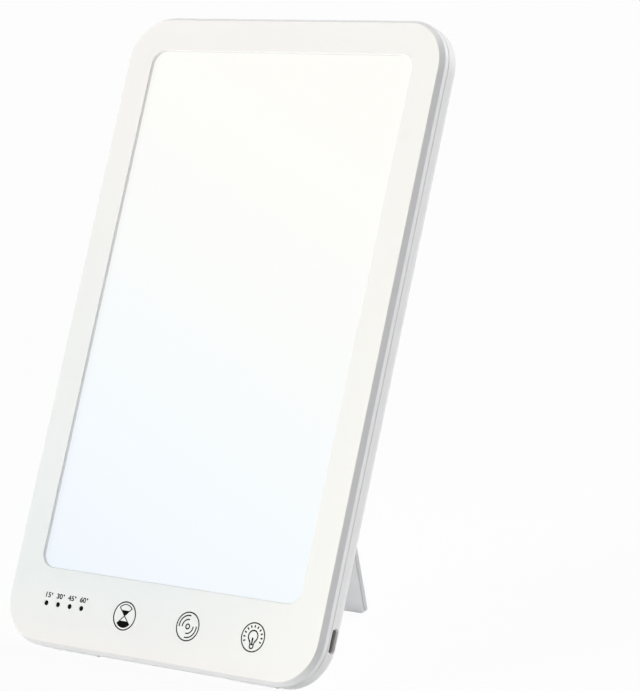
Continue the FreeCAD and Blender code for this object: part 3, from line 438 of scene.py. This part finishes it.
# Opal acrylic scatters the light from behind evenly, so it glows and shows no depth.
opal_acrylic = new_material("opal_acrylic")
place = add_node(opal_acrylic, "ShaderNodeTexCoord", out="Object")
height = add_node(opal_acrylic, "ShaderNodeVectorMath", {
    0: place, 1: tone_way,
}, operation="DOT_PRODUCT")
share = add_node(opal_acrylic, "ShaderNodeMapRange", {
    "Value": height, "From Min": tone_way.dot(coolest), "From Max": tone_way.dot(warmest),
})
glow = add_node(opal_acrylic, "ShaderNodeValToRGB", {"Fac": share})
stops = glow.node.color_ramp.elements
for index, (position, tone) in enumerate(LIGHT_TONES):
    # A new colour ramp has two stops already.
    stop = stops[0] if index == 0 else stops[-1] if index == 1 else stops.new(position)
    stop.position = position
    stop.color = linear(tone)
haze = add_node(opal_acrylic, "ShaderNodeTexNoise", {
    "Vector": place, "Scale": 1 / (0.9 * MM), "Detail": 2.0,
})
tint = add_node(opal_acrylic, "ShaderNodeMix", {
    "Factor": haze, COLOUR_A: linear("343636"), COLOUR_B: linear("3A3C3C"),
}, data_type="RGBA")
relief = add_node(opal_acrylic, "ShaderNodeBump", {"Height": haze, "Distance": 0.003 * MM})
skin = add_node(opal_acrylic, "ShaderNodeBsdfPrincipled", {
    "Base Color": tint, "Roughness": 0.5, "IOR": ACRYLIC_IOR, "Specular IOR Level": 0.08,
    "Normal": relief, "Emission Color": glow, "Emission Strength": PANEL_GLOW,
})
add_node(opal_acrylic, "ShaderNodeOutputMaterial", {"Surface": skin})
dress(opal_acrylic, "diffuser_panel")

# ---------------------------------------------------------------------------------------------
# Film, light guide and reflector
# Three loose sheets behind the opal panel: a frosted film, an acrylic plate that brings the light
# in from its edges, and a white sheet that turns it forwards.
# ---------------------------------------------------------------------------------------------

# Frosted polyester is milky, and sheer enough to lighten what is behind.
frosted_film = new_material("frosted_polyester_film")
place = add_node(frosted_film, "ShaderNodeTexCoord", out="Object")
frost = add_node(frosted_film, "ShaderNodeTexNoise", {
    "Vector": place, "Scale": 1 / (0.3 * MM), "Detail": 2.0,
})
tint = add_node(frosted_film, "ShaderNodeMix", {
    "Factor": frost, COLOUR_A: linear("E4E8E8"), COLOUR_B: linear("F8FAFA"),
}, data_type="RGBA")
gloss = add_node(frosted_film, "ShaderNodeMapRange", {
    "Value": frost, "To Min": 0.5, "To Max": 0.75,
})
skin = add_node(frosted_film, "ShaderNodeBsdfPrincipled", {
    "Base Color": tint, "Roughness": gloss, "IOR": 1.6, "Alpha": 0.85,
})
add_node(frosted_film, "ShaderNodeOutputMaterial", {"Surface": skin})
dress(frosted_film, "diffusion_film")

DOT_PITCH = 1.5

# Cast acrylic is clear, with a field of white dots printed on its back.
clear_acrylic = new_material("clear_acrylic")
place = add_node(clear_acrylic, "ShaderNodeTexCoord", out="Object")
dots = add_node(clear_acrylic, "ShaderNodeTexVoronoi", {
    "Vector": place, "Scale": 1 / (DOT_PITCH * MM), "Randomness": 0.0,
})
tint = add_node(clear_acrylic, "ShaderNodeMix", {
    "Factor": dots, COLOUR_A: linear("FFFFFF"), COLOUR_B: linear("D4E6EC"),
}, data_type="RGBA")
skin = add_node(clear_acrylic, "ShaderNodeBsdfPrincipled", {
    "Base Color": tint, "Roughness": 0.05, "IOR": ACRYLIC_IOR, "Transmission Weight": 0.6,
})
add_node(clear_acrylic, "ShaderNodeOutputMaterial", {"Surface": skin})
dress(clear_acrylic, "light_guide_plate")

# Foamed polyester is the brightest white there is, dull, with faint clouds in it.
reflector_white = new_material("foamed_white_polyester")
place = add_node(reflector_white, "ShaderNodeTexCoord", out="Object")
clouds = add_node(reflector_white, "ShaderNodeTexNoise", {
    "Vector": place, "Scale": 1 / (3 * MM), "Detail": 3.0,
})
tint = add_node(reflector_white, "ShaderNodeMix", {
    "Factor": clouds, COLOUR_A: linear("F2F4F4"), COLOUR_B: linear("FCFCFC"),
}, data_type="RGBA")
skin = add_node(reflector_white, "ShaderNodeBsdfPrincipled", {
    "Base Color": tint, "Roughness": 0.6,
})
add_node(reflector_white, "ShaderNodeOutputMaterial", {"Surface": skin})
dress(reflector_white, "reflector_sheet")

# ---------------------------------------------------------------------------------------------
# LED boards
# A narrow board along each long side of the light guide, soldered with warm and daylight LEDs
# in turn, and a white nylon socket at its foot.
# ---------------------------------------------------------------------------------------------

# White solder mask is a glossy lacquer, with a slight ripple over the copper under it.
white_mask = new_material("white_solder_mask")
place = add_node(white_mask, "ShaderNodeTexCoord", out="Object")
lacquer = add_node(white_mask, "ShaderNodeTexNoise", {
    "Vector": place, "Scale": 1 / (2 * MM), "Detail": 2.0,
})
tint = add_node(white_mask, "ShaderNodeMix", {
    "Factor": lacquer, COLOUR_A: linear("E9EAE6"), COLOUR_B: linear("F6F6F3"),
}, data_type="RGBA")
relief = add_node(white_mask, "ShaderNodeBump", {"Height": lacquer, "Distance": 0.03 * MM})
skin = add_node(white_mask, "ShaderNodeBsdfPrincipled", {
    "Base Color": tint, "Roughness": 0.3, "IOR": 1.5, "Normal": relief,
})
add_node(white_mask, "ShaderNodeOutputMaterial", {"Surface": skin})
dress(white_mask, "led_board_left", "led_board_right")

SILICONE_IOR = 1.41

# The phosphor in an unlit LED is orange-yellow for warm light and lemon for daylight, and grainy.
for tone, dark, pale in (("warm", "E0942C", "F5BC5C"), ("daylight", "E8D83E", "F8EF80")):
    phosphor = new_material(f"{tone}_phosphor_silicone")
    place = add_node(phosphor, "ShaderNodeTexCoord", out="Object")
    grains = add_node(phosphor, "ShaderNodeTexNoise", {
        "Vector": place, "Scale": 1 / (0.15 * MM), "Detail": 2.0,
    })
    tint = add_node(phosphor, "ShaderNodeMix", {
        "Factor": grains, COLOUR_A: linear(dark), COLOUR_B: linear(pale),
    }, data_type="RGBA")
    skin = add_node(phosphor, "ShaderNodeBsdfPrincipled", {
        "Base Color": tint, "Roughness": 0.35, "IOR": SILICONE_IOR,
    })
    add_node(phosphor, "ShaderNodeOutputMaterial", {"Surface": skin})
    dress(phosphor, f"{tone}_leds_left", f"{tone}_leds_right")

# Moulded nylon is an off-white with a fine dull grain.
white_nylon = new_material("white_nylon")
place = add_node(white_nylon, "ShaderNodeTexCoord", out="Object")
grains = add_node(white_nylon, "ShaderNodeTexNoise", {
    "Vector": place, "Scale": 1 / (0.25 * MM), "Detail": 3.0,
})
tint = add_node(white_nylon, "ShaderNodeMix", {
    "Factor": grains, COLOUR_A: linear("E0DDD2"), COLOUR_B: linear("F1EFE8"),
}, data_type="RGBA")
relief = add_node(white_nylon, "ShaderNodeBump", {"Height": grains, "Distance": 0.01 * MM})
skin = add_node(white_nylon, "ShaderNodeBsdfPrincipled", {
    "Base Color": tint, "Roughness": 0.45, "IOR": 1.53, "Normal": relief,
})
add_node(white_nylon, "ShaderNodeOutputMaterial", {"Surface": skin})
dress(white_nylon, "led_connector_left", "led_connector_right")

# ---------------------------------------------------------------------------------------------
# Light tray
# A tray folded from 0.6 mm aluminium sheet, which holds the stack of sheets and the LED boards
# against the bezel and carries off their heat.
# ---------------------------------------------------------------------------------------------

ROLLING_STRETCH = 0.03  # scale of the pattern along the sheet, which draws it out into lines

# Mill-finish aluminium is a pale grey metal, with fine lines of rolling along the sheet.
rolled_aluminium = new_material("rolled_aluminium")
place = add_node(rolled_aluminium, "ShaderNodeTexCoord", out="Object")
along = add_node(rolled_aluminium, "ShaderNodeMapping", {
    "Vector": place, "Scale": (ROLLING_STRETCH, 1, 1),
})
lines = add_node(rolled_aluminium, "ShaderNodeTexNoise", {
    "Vector": along, "Scale": 1 / (0.4 * MM), "Detail": 3.0,
})
tint = add_node(rolled_aluminium, "ShaderNodeMix", {
    "Factor": lines, COLOUR_A: linear("C0C2C4"), COLOUR_B: linear("DADCDE"),
}, data_type="RGBA")
gloss = add_node(rolled_aluminium, "ShaderNodeMapRange", {
    "Value": lines, "To Min": 0.25, "To Max": 0.45,
})
skin = add_node(rolled_aluminium, "ShaderNodeBsdfPrincipled", {
    "Base Color": tint, "Metallic": 1.0, "Roughness": gloss,
})
add_node(rolled_aluminium, "ShaderNodeOutputMaterial", {"Surface": skin})
dress(rolled_aluminium, "light_tray")

# ---------------------------------------------------------------------------------------------
# Indicator light pipes
# Four dots of smoked acrylic on one bar, pressed in from behind until they are flush with the
# face.  Unlit they look black.
# ---------------------------------------------------------------------------------------------

# Smoked acrylic is near black with a trace of brown; its ends are matt, so that they don't shine.
smoked_acrylic = new_material("smoked_acrylic")
place = add_node(smoked_acrylic, "ShaderNodeTexCoord", out="Object")
smoke = add_node(smoked_acrylic, "ShaderNodeTexNoise", {
    "Vector": place, "Scale": 1 / (0.6 * MM), "Detail": 2.0,
})
tint = add_node(smoked_acrylic, "ShaderNodeMix", {
    "Factor": smoke, COLOUR_A: linear("020202"), COLOUR_B: linear("090807"),
}, data_type="RGBA")
skin = add_node(smoked_acrylic, "ShaderNodeBsdfPrincipled", {
    "Base Color": tint, "Roughness": 0.6, "IOR": ACRYLIC_IOR, "Specular IOR Level": 0.04,
})
add_node(smoked_acrylic, "ShaderNodeOutputMaterial", {"Surface": skin})
dress(smoked_acrylic, "indicator_light_pipes")

# ---------------------------------------------------------------------------------------------
# Touch electrodes
# A disc of copper foil stuck to the inside of the bezel under each symbol, and a column of
# conductive foam that joins it to the control board.
# ---------------------------------------------------------------------------------------------

TOUCH_FIELDS = ("timer", "tone", "brightness")

# Copper foil is bare, and a little tarnished in patches.
copper_foil = new_material("copper_foil")
place = add_node(copper_foil, "ShaderNodeTexCoord", out="Object")
tarnish = add_node(copper_foil, "ShaderNodeTexNoise", {
    "Vector": place, "Scale": 1 / (2.5 * MM), "Detail": 4.0,
})
tint = add_node(copper_foil, "ShaderNodeMix", {
    "Factor": tarnish, COLOUR_A: linear("A85C3E"), COLOUR_B: linear("D39070"),
}, data_type="RGBA")
gloss = add_node(copper_foil, "ShaderNodeMapRange", {
    "Value": tarnish, "To Min": 0.2, "To Max": 0.45,
})
skin = add_node(copper_foil, "ShaderNodeBsdfPrincipled", {
    "Base Color": tint, "Metallic": 1.0, "Roughness": gloss,
})
add_node(copper_foil, "ShaderNodeOutputMaterial", {"Surface": skin})
dress(copper_foil, *(f"touch_pad_{field}" for field in TOUCH_FIELDS))

# Foam loaded with carbon is dark grey and dull, with open cells of about 0.5 mm.
carbon_foam = new_material("carbon_loaded_foam")
place = add_node(carbon_foam, "ShaderNodeTexCoord", out="Object")
cells = add_node(carbon_foam, "ShaderNodeTexVoronoi", {
    "Vector": place, "Scale": 1 / (0.5 * MM),
})
tint = add_node(carbon_foam, "ShaderNodeMix", {
    "Factor": cells, COLOUR_A: linear("242425"), COLOUR_B: linear("4C4C4D"),
}, data_type="RGBA")
relief = add_node(carbon_foam, "ShaderNodeBump", {"Height": cells, "Distance": 0.12 * MM})
skin = add_node(carbon_foam, "ShaderNodeBsdfPrincipled", {
    "Base Color": tint, "Roughness": 0.95, "Normal": relief,
})
add_node(carbon_foam, "ShaderNodeOutputMaterial", {"Surface": skin})
dress(carbon_foam, *(f"touch_column_{field}" for field in TOUCH_FIELDS))

# ---------------------------------------------------------------------------------------------
# Control board and its parts
# A glass-fibre board behind the chin of the bezel, with the chips, the inductor, the capacitors
# and the four indicator LEDs soldered on.
# ---------------------------------------------------------------------------------------------

# Green solder mask lies over glass cloth, which shows as a faint ripple.  The cloth's weave of
# 0.5 mm is drawn at about 3 mm so that it shows.
green_mask = new_material("green_solder_mask")
place = add_node(green_mask, "ShaderNodeTexCoord", out="Object")
weave = add_node(green_mask, "ShaderNodeTexWave", {
    "Vector": place, "Scale": 1 / (10 * MM), "Distortion": 0.6,
}, out="Fac")
tint = add_node(green_mask, "ShaderNodeMix", {
    "Factor": weave, COLOUR_A: linear("1D5834"), COLOUR_B: linear("256E43"),
}, data_type="RGBA")
relief = add_node(green_mask, "ShaderNodeBump", {"Height": weave, "Distance": 0.01 * MM})
skin = add_node(green_mask, "ShaderNodeBsdfPrincipled", {
    "Base Color": tint, "Roughness": 0.28, "IOR": 1.5, "Normal": relief,
})
add_node(green_mask, "ShaderNodeOutputMaterial", {"Surface": skin})
dress(green_mask, "control_board")

# Chips are pressed from black epoxy, the inductor from grey ferrite powder and the capacitors'
# cans drawn from aluminium and sleeved; an indicator LED is white ceramic round its phosphor.
PART_FINISHES = (
    ("black_epoxy", "161617", "2A2A2B", 0.55,
     ("microcontroller", "touch_controller", "led_drivers")),
    ("pressed_ferrite", "333436", "4C4D4F", 0.7, ("power_inductor",)),
    ("sleeved_aluminium", "999DA2", "BABDC1", 0.35, ("capacitors",)),
    ("white_ceramic", "EAE2C0", "F4F2EE", 0.45, ("indicator_leds",)),
)
for finish, dark, pale, roughness, members in PART_FINISHES:
    part_skin = new_material(finish)
    place = add_node(part_skin, "ShaderNodeTexCoord", out="Object")
    grains = add_node(part_skin, "ShaderNodeTexNoise", {
        "Vector": place, "Scale": 1 / (0.25 * MM), "Detail": 3.0,
    })
    tint = add_node(part_skin, "ShaderNodeMix", {
        "Factor": grains, COLOUR_A: linear(dark), COLOUR_B: linear(pale),
    }, data_type="RGBA")
    relief = add_node(part_skin, "ShaderNodeBump", {"Height": grains, "Distance": 0.01 * MM})
    skin = add_node(part_skin, "ShaderNodeBsdfPrincipled", {
        "Base Color": tint, "Roughness": roughness, "Normal": relief,
    })
    add_node(part_skin, "ShaderNodeOutputMaterial", {"Surface": skin})
    dress(part_skin, *members)

# ---------------------------------------------------------------------------------------------
# Charging socket
# A shell folded from nickel-plated steel, soldered to the board just inside the wall of the
# case, with a pale grey tongue in it that carries twelve gilded contacts on each face.
# ---------------------------------------------------------------------------------------------

CONTACT_COUNT = 12
CONTACT_STEP = 0.5
CONTACT_WIDTH = 0.27
CONTACT_LENGTH = 3.6
CONTACT_LIFT = 0.04
CONTACT_BEVEL = 0.8  # as a share of the lift
CONTACT_SETBACK = 0.5  # behind the tip of the tongue

# Matt nickel plate is a pale metal, a little cloudy where the steel was drawn.
nickel_plate = new_material("nickel_plated_steel")
place = add_node(nickel_plate, "ShaderNodeTexCoord", out="Object")
clouding = add_node(nickel_plate, "ShaderNodeTexNoise", {
    "Vector": place, "Scale": 1 / (0.5 * MM), "Detail": 3.0,
})
tint = add_node(nickel_plate, "ShaderNodeMix", {
    "Factor": clouding, COLOUR_A: linear("D8D8D8"), COLOUR_B: linear("EAEAE9"),
}, data_type="RGBA")
gloss = add_node(nickel_plate, "ShaderNodeMapRange", {
    "Value": clouding, "To Min": 0.42, "To Max": 0.58,
})
skin = add_node(nickel_plate, "ShaderNodeBsdfPrincipled", {
    "Base Color": tint, "Metallic": 1.0, "Roughness": gloss,
})
add_node(nickel_plate, "ShaderNodeOutputMaterial", {"Surface": skin})
dress(nickel_plate, "usb_socket_shell")

# Undyed liquid crystal polymer is a dull pale grey, speckled by the glass fibre in it.
glass_filled_polymer = new_material("glass_filled_polymer")
place = add_node(glass_filled_polymer, "ShaderNodeTexCoord", out="Object")
specks = add_node(glass_filled_polymer, "ShaderNodeTexNoise", {
    "Vector": place, "Scale": 1 / (0.12 * MM), "Detail": 3.0,
})
tint = add_node(glass_filled_polymer, "ShaderNodeMix", {
    "Factor": specks, COLOUR_A: linear("A8A9AB"), COLOUR_B: linear("C8C9CB"),
}, data_type="RGBA")
skin = add_node(glass_filled_polymer, "ShaderNodeBsdfPrincipled", {
    "Base Color": tint, "Roughness": 0.6,
})
add_node(glass_filled_polymer, "ShaderNodeOutputMaterial", {"Surface": skin})
dress(glass_filled_polymer, "usb_socket_tongue")

# Gold plate is thin over nickel, and a little paler where plugs have rubbed it.
gold_plate = new_material("gold_plated_contact")
place = add_node(gold_plate, "ShaderNodeTexCoord", out="Object")
rubbing = add_node(gold_plate, "ShaderNodeTexNoise", {
    "Vector": place, "Scale": 1 / (0.4 * MM), "Detail": 2.0,
})
tint = add_node(gold_plate, "ShaderNodeMix", {
    "Factor": rubbing, COLOUR_A: linear("C2922F"), COLOUR_B: linear("E3BE6E"),
}, data_type="RGBA")
gloss = add_node(gold_plate, "ShaderNodeMapRange", {
    "Value": rubbing, "To Min": 0.18, "To Max": 0.38,
})
skin = add_node(gold_plate, "ShaderNodeBsdfPrincipled", {
    "Base Color": tint, "Metallic": 1.0, "Roughness": gloss,
})
add_node(gold_plate, "ShaderNodeOutputMaterial", {"Surface": skin})

# One contact is a bevelled strip that shows on both faces of the tongue; an array makes the row.
tongue_tip = reach("usb_socket_tongue", across)[1] / MM
tongue_low, tongue_high = (
    (edge - case_bottom) / MM for edge in reach("usb_socket_tongue", upward)
)
tongue_back, tongue_front = (
    (edge - face_level) / MM for edge in reach("usb_socket_tongue", outward)
)
first_contact = (tongue_low + tongue_high) / 2 - CONTACT_STEP * (CONTACT_COUNT - 1) / 2
bpy.ops.object.select_all(action="DESELECT")
bpy.ops.mesh.primitive_cube_add(size=1)
contacts = bpy.context.object
bpy.ops.object.mode_set(mode="EDIT")
bpy.ops.transform.resize(
    value=(CONTACT_LENGTH, CONTACT_WIDTH, tongue_front - tongue_back + 2 * CONTACT_LIFT),
    center_override=(0, 0, 0),
)
bpy.ops.mesh.bevel(offset=CONTACT_LIFT * CONTACT_BEVEL, segments=2)
bpy.ops.mesh.select_all(action="SELECT")
bpy.ops.transform.translate(value=(0, 0, (tongue_back + tongue_front) / 2))
bpy.ops.object.mode_set(mode="OBJECT")
row = contacts.modifiers.new("row", "ARRAY")
row.count = CONTACT_COUNT
row.use_relative_offset = False
row.use_constant_offset = True
row.constant_offset_displace = (0, CONTACT_STEP, 0)
bpy.ops.object.modifier_apply(modifier="row")
contact_x = tongue_tip - CONTACT_SETBACK - CONTACT_LENGTH / 2
finish_on_slab(contacts, "usb_contacts", gold_plate, contact_x, first_contact)

# ---------------------------------------------------------------------------------------------
# Rear shell
# The other half of the case, of the same ABS: walls and back in one moulding, rounded at its
# rear edge, with a recess for the leg and wells for the screws.
# ---------------------------------------------------------------------------------------------

GRAIN = 0.5
GRAIN_DEPTH = 0.012
GRAIN_GLOSS = {"To Min": 0.4, "To Max": 0.56}

# A spark-eroded tool leaves a dull grain of about 0.3 mm, drawn at 0.5 mm so that it shows.
grained_abs = new_material("grained_white_abs")
place = add_node(grained_abs, "ShaderNodeTexCoord", out="Object")
grain = add_node(grained_abs, "ShaderNodeTexNoise", {
    "Vector": place, "Scale": 1 / (GRAIN * MM), "Detail": 1.0,
})
tint = add_node(grained_abs, "ShaderNodeMix", {
    "Factor": grain, COLOUR_A: linear("F1F1F1"), COLOUR_B: linear("F6F5F4"),
}, data_type="RGBA")
gloss = add_node(grained_abs, "ShaderNodeMapRange", {"Value": grain, **GRAIN_GLOSS})
relief = add_node(grained_abs, "ShaderNodeBump", {
    "Height": grain, "Distance": GRAIN_DEPTH * MM,
})
skin = add_node(grained_abs, "ShaderNodeBsdfPrincipled", {
    "Base Color": tint, "Roughness": gloss, "IOR": ABS_IOR, "Normal": relief,
})
add_node(grained_abs, "ShaderNodeOutputMaterial", {"Surface": skin})
dress(grained_abs, "rear_shell")

# ---------------------------------------------------------------------------------------------
# Screws and hinge pins
# Cross-head steel screws hold the tray, the board and the case, and two turned steel pins hang
# the leg in the rear shell.
# ---------------------------------------------------------------------------------------------

# Zinc plate is a bright grey metal with a faint blue cloud.
zinc_plate = new_material("zinc_plated_steel")
place = add_node(zinc_plate, "ShaderNodeTexCoord", out="Object")
cloud = add_node(zinc_plate, "ShaderNodeTexNoise", {
    "Vector": place, "Scale": 1 / (1.5 * MM), "Detail": 3.0,
})
tint = add_node(zinc_plate, "ShaderNodeMix", {
    "Factor": cloud, COLOUR_A: linear("A0A7AE"), COLOUR_B: linear("C9CACB"),
}, data_type="RGBA")
gloss = add_node(zinc_plate, "ShaderNodeMapRange", {
    "Value": cloud, "To Min": 0.28, "To Max": 0.46,
})
skin = add_node(zinc_plate, "ShaderNodeBsdfPrincipled", {
    "Base Color": tint, "Metallic": 1.0, "Roughness": gloss,
})
add_node(zinc_plate, "ShaderNodeOutputMaterial", {"Surface": skin})
dress(
    zinc_plate, "tray_screws", "board_screws", "case_screws", "hinge_pin_left", "hinge_pin_right"
)

# ---------------------------------------------------------------------------------------------
# Pads and strips
# Four round pads on the back, and two strips round the rear bottom edge that grip the table:
# silicone rubber, moulded and glued into shallow seats.
# ---------------------------------------------------------------------------------------------

# Silicone rubber is a milky dull white, with the slight orange peel of its skin.
silicone_rubber = new_material("white_silicone_rubber")
place = add_node(silicone_rubber, "ShaderNodeTexCoord", out="Object")
peel = add_node(silicone_rubber, "ShaderNodeTexNoise", {
    "Vector": place, "Scale": 1 / (0.6 * MM), "Detail": 3.0,
})
tint = add_node(silicone_rubber, "ShaderNodeMix", {
    "Factor": peel, COLOUR_A: linear("EFF0F0"), COLOUR_B: linear("F7F7F8"),
}, data_type="RGBA")
relief = add_node(silicone_rubber, "ShaderNodeBump", {"Height": peel, "Distance": 0.03 * MM})
skin = add_node(silicone_rubber, "ShaderNodeBsdfPrincipled", {
    "Base Color": tint, "Roughness": 0.75, "IOR": SILICONE_IOR, "Normal": relief,
})
add_node(silicone_rubber, "ShaderNodeOutputMaterial", {"Surface": skin})
dress(
    silicone_rubber, "floor_strip_left", "floor_strip_right", "back_pad_bottom_left",
    "back_pad_bottom_right", "back_pad_top_left", "back_pad_top_right",
)

# ---------------------------------------------------------------------------------------------
# Folding leg
# A flat plate of ABS with the grain of the rear shell.  It swings out of its recess on the two
# pins until its heel stops it.
# ---------------------------------------------------------------------------------------------

SHADED_EDGE_BAND = 0.4  # from the sides of the leg inwards, painted greyer as shade on its bevels and its side walls
GLOW_DEPTH = 2.0  # how far light travels in the plastic

# Its moulding is tinted a shade cooler than the case as painted shade, is as dull as the rear
# shell, and is so thin that light from behind glows through.  Its two long edges are painted
# greyer as shade.
leg_abs = new_material("grained_white_abs_leg")
place = add_node(leg_abs, "ShaderNodeTexCoord", out="Object")
grain = add_node(leg_abs, "ShaderNodeTexNoise", {
    "Vector": place, "Scale": 1 / (GRAIN * MM), "Detail": 1.0,
})
# Painted shade: the leg's white is tinted cooler than the case.
tint = add_node(leg_abs, "ShaderNodeMix", {
    "Factor": grain, COLOUR_A: linear("F3F6FB"), COLOUR_B: linear("F8FAFD"),
}, data_type="RGBA")
# Painted shade: the long side walls of the leg are greyer.
sideways = add_node(leg_abs, "ShaderNodeVectorMath", {
    0: place, 1: across,
}, operation="DOT_PRODUCT")
from_middle = add_node(leg_abs, "ShaderNodeMath", {0: sideways}, operation="ABSOLUTE")
edge = add_node(leg_abs, "ShaderNodeMath", {
    0: from_middle, 1: reach("kickstand_leg", across)[1] - SHADED_EDGE_BAND * MM,
}, operation="GREATER_THAN")
tint = add_node(leg_abs, "ShaderNodeMix", {
    "Factor": edge, COLOUR_A: tint, COLOUR_B: linear("D0D1D1"),
}, data_type="RGBA")
gloss = add_node(leg_abs, "ShaderNodeMapRange", {"Value": grain, **GRAIN_GLOSS})
relief = add_node(leg_abs, "ShaderNodeBump", {"Height": grain, "Distance": GRAIN_DEPTH * MM})
skin = add_node(leg_abs, "ShaderNodeBsdfPrincipled", {
    "Base Color": tint, "Roughness": gloss, "IOR": ABS_IOR, "Normal": relief,
    "Subsurface Weight": 1.0, "Subsurface Radius": (1.0, 1.0, 1.0),
    "Subsurface Scale": GLOW_DEPTH * MM,
})
add_node(leg_abs, "ShaderNodeOutputMaterial", {"Surface": skin})
dress(leg_abs, "kickstand_leg")

# ---------------------------------------------------------------------------------------------
# Table top and room
# A plain white table.  The eye, a mirror and clear plastic see it and the room as plain white,
# with a soft shadow under the lamp.
# ---------------------------------------------------------------------------------------------

TABLE_SIZE = 8.0  # metres
PLAIN_WHITE = 0.93  # share of the table that is seen as plain white, without the shadow
ROOM_LIGHT = 0.18

white_table = new_material("white_table_top")
path = add_node(white_table, "ShaderNodeLightPath", out="Is Camera Ray").node.outputs
seen = add_node(white_table, "ShaderNodeMath", {
    0: path["Is Camera Ray"], 1: path["Is Glossy Ray"],
}, operation="MAXIMUM")
seen = add_node(white_table, "ShaderNodeMath", {
    0: seen, 1: path["Is Transmission Ray"],
}, operation="MAXIMUM")
share = add_node(white_table, "ShaderNodeMath", {0: seen, 1: PLAIN_WHITE}, operation="MULTIPLY")
laminate = add_node(white_table, "ShaderNodeBsdfPrincipled", {
    "Base Color": linear("F8F8F8"), "Roughness": 0.9,
})
white = add_node(white_table, "ShaderNodeEmission", {"Strength": 1.0})
mixed = add_node(white_table, "ShaderNodeMixShader", {0: share, 1: laminate, 2: white})
add_node(white_table, "ShaderNodeOutputMaterial", {"Surface": mixed})

bpy.ops.object.select_all(action="DESELECT")
bpy.ops.mesh.primitive_plane_add(size=TABLE_SIZE)
table_top = bpy.context.object
table_top.name = "table_top"
table_top.data.materials.append(white_table)

room = bpy.data.worlds.new("white_room")
bpy.context.scene.world = room
room.use_nodes = True
room.node_tree.nodes.clear()
path = add_node(room, "ShaderNodeLightPath", out="Is Camera Ray").node.outputs
seen = add_node(room, "ShaderNodeMath", {
    0: path["Is Camera Ray"], 1: path["Is Glossy Ray"],
}, operation="MAXIMUM")
seen = add_node(room, "ShaderNodeMath", {
    0: seen, 1: path["Is Transmission Ray"],
}, operation="MAXIMUM")
dim = add_node(room, "ShaderNodeBackground", {
    "Color": linear("F6F7FF"), "Strength": ROOM_LIGHT,
})
white = add_node(room, "ShaderNodeBackground", {"Color": linear("FFFFFF"), "Strength": 1.0})
mixed = add_node(room, "ShaderNodeMixShader", {0: seen, 1: dim, 2: white})
add_node(room, "ShaderNodeOutputWorld", {"Surface": mixed})

# ---------------------------------------------------------------------------------------------
# Lights and camera
# Three broad soft lights: a key from the front left, and two from behind, one on the right for the
# side wall and one overhead.  The bevel between the face and the right side wall is nearly
# edge-on to all three.
# ---------------------------------------------------------------------------------------------

LIGHT_SPREAD = 0.6  # radians across, which softens the shadows
LIGHTS = {
    "key_light": {"comes_from": (-0.6, -0.78, 0.18), "strength": 2.4},
    "side_light": {"comes_from": (0.58, 0.75, 0.29), "strength": 1.38},
    "top_light": {"comes_from": (0.1, 0.5, 0.86), "strength": 1.1},
}
for name, light in LIGHTS.items():
    bpy.ops.object.light_add(type="SUN")
    lamp = bpy.context.object
    lamp.name = name
    lamp.data.energy = light["strength"]
    lamp.data.angle = LIGHT_SPREAD
    lamp.rotation_euler = Vector(light["comes_from"]).to_track_quat("Z", "Y").to_euler()

CAMERA_SPOT = (0.75002, -0.85979, 0.33806)
CAMERA_TURN = math.radians(39.444)
CAMERA_TILT = math.radians(90 - 11.536)
CAMERA_ROLL = math.radians(-4.147)
CAMERA_LENS = 167.9
CAMERA_SENSOR = 36
bpy.ops.object.camera_add()
camera = bpy.context.object
camera.name = "camera"
camera.matrix_world = (
    Matrix.Translation(CAMERA_SPOT) @ Matrix.Rotation(CAMERA_TURN, 4, "Z")
    @ Matrix.Rotation(CAMERA_TILT, 4, "X") @ Matrix.Rotation(CAMERA_ROLL, 4, "Z")
)
camera.data.lens = CAMERA_LENS
camera.data.sensor_width = CAMERA_SENSOR
bpy.context.scene.camera = camera
bpy.context.scene.view_settings.view_transform = "Standard"
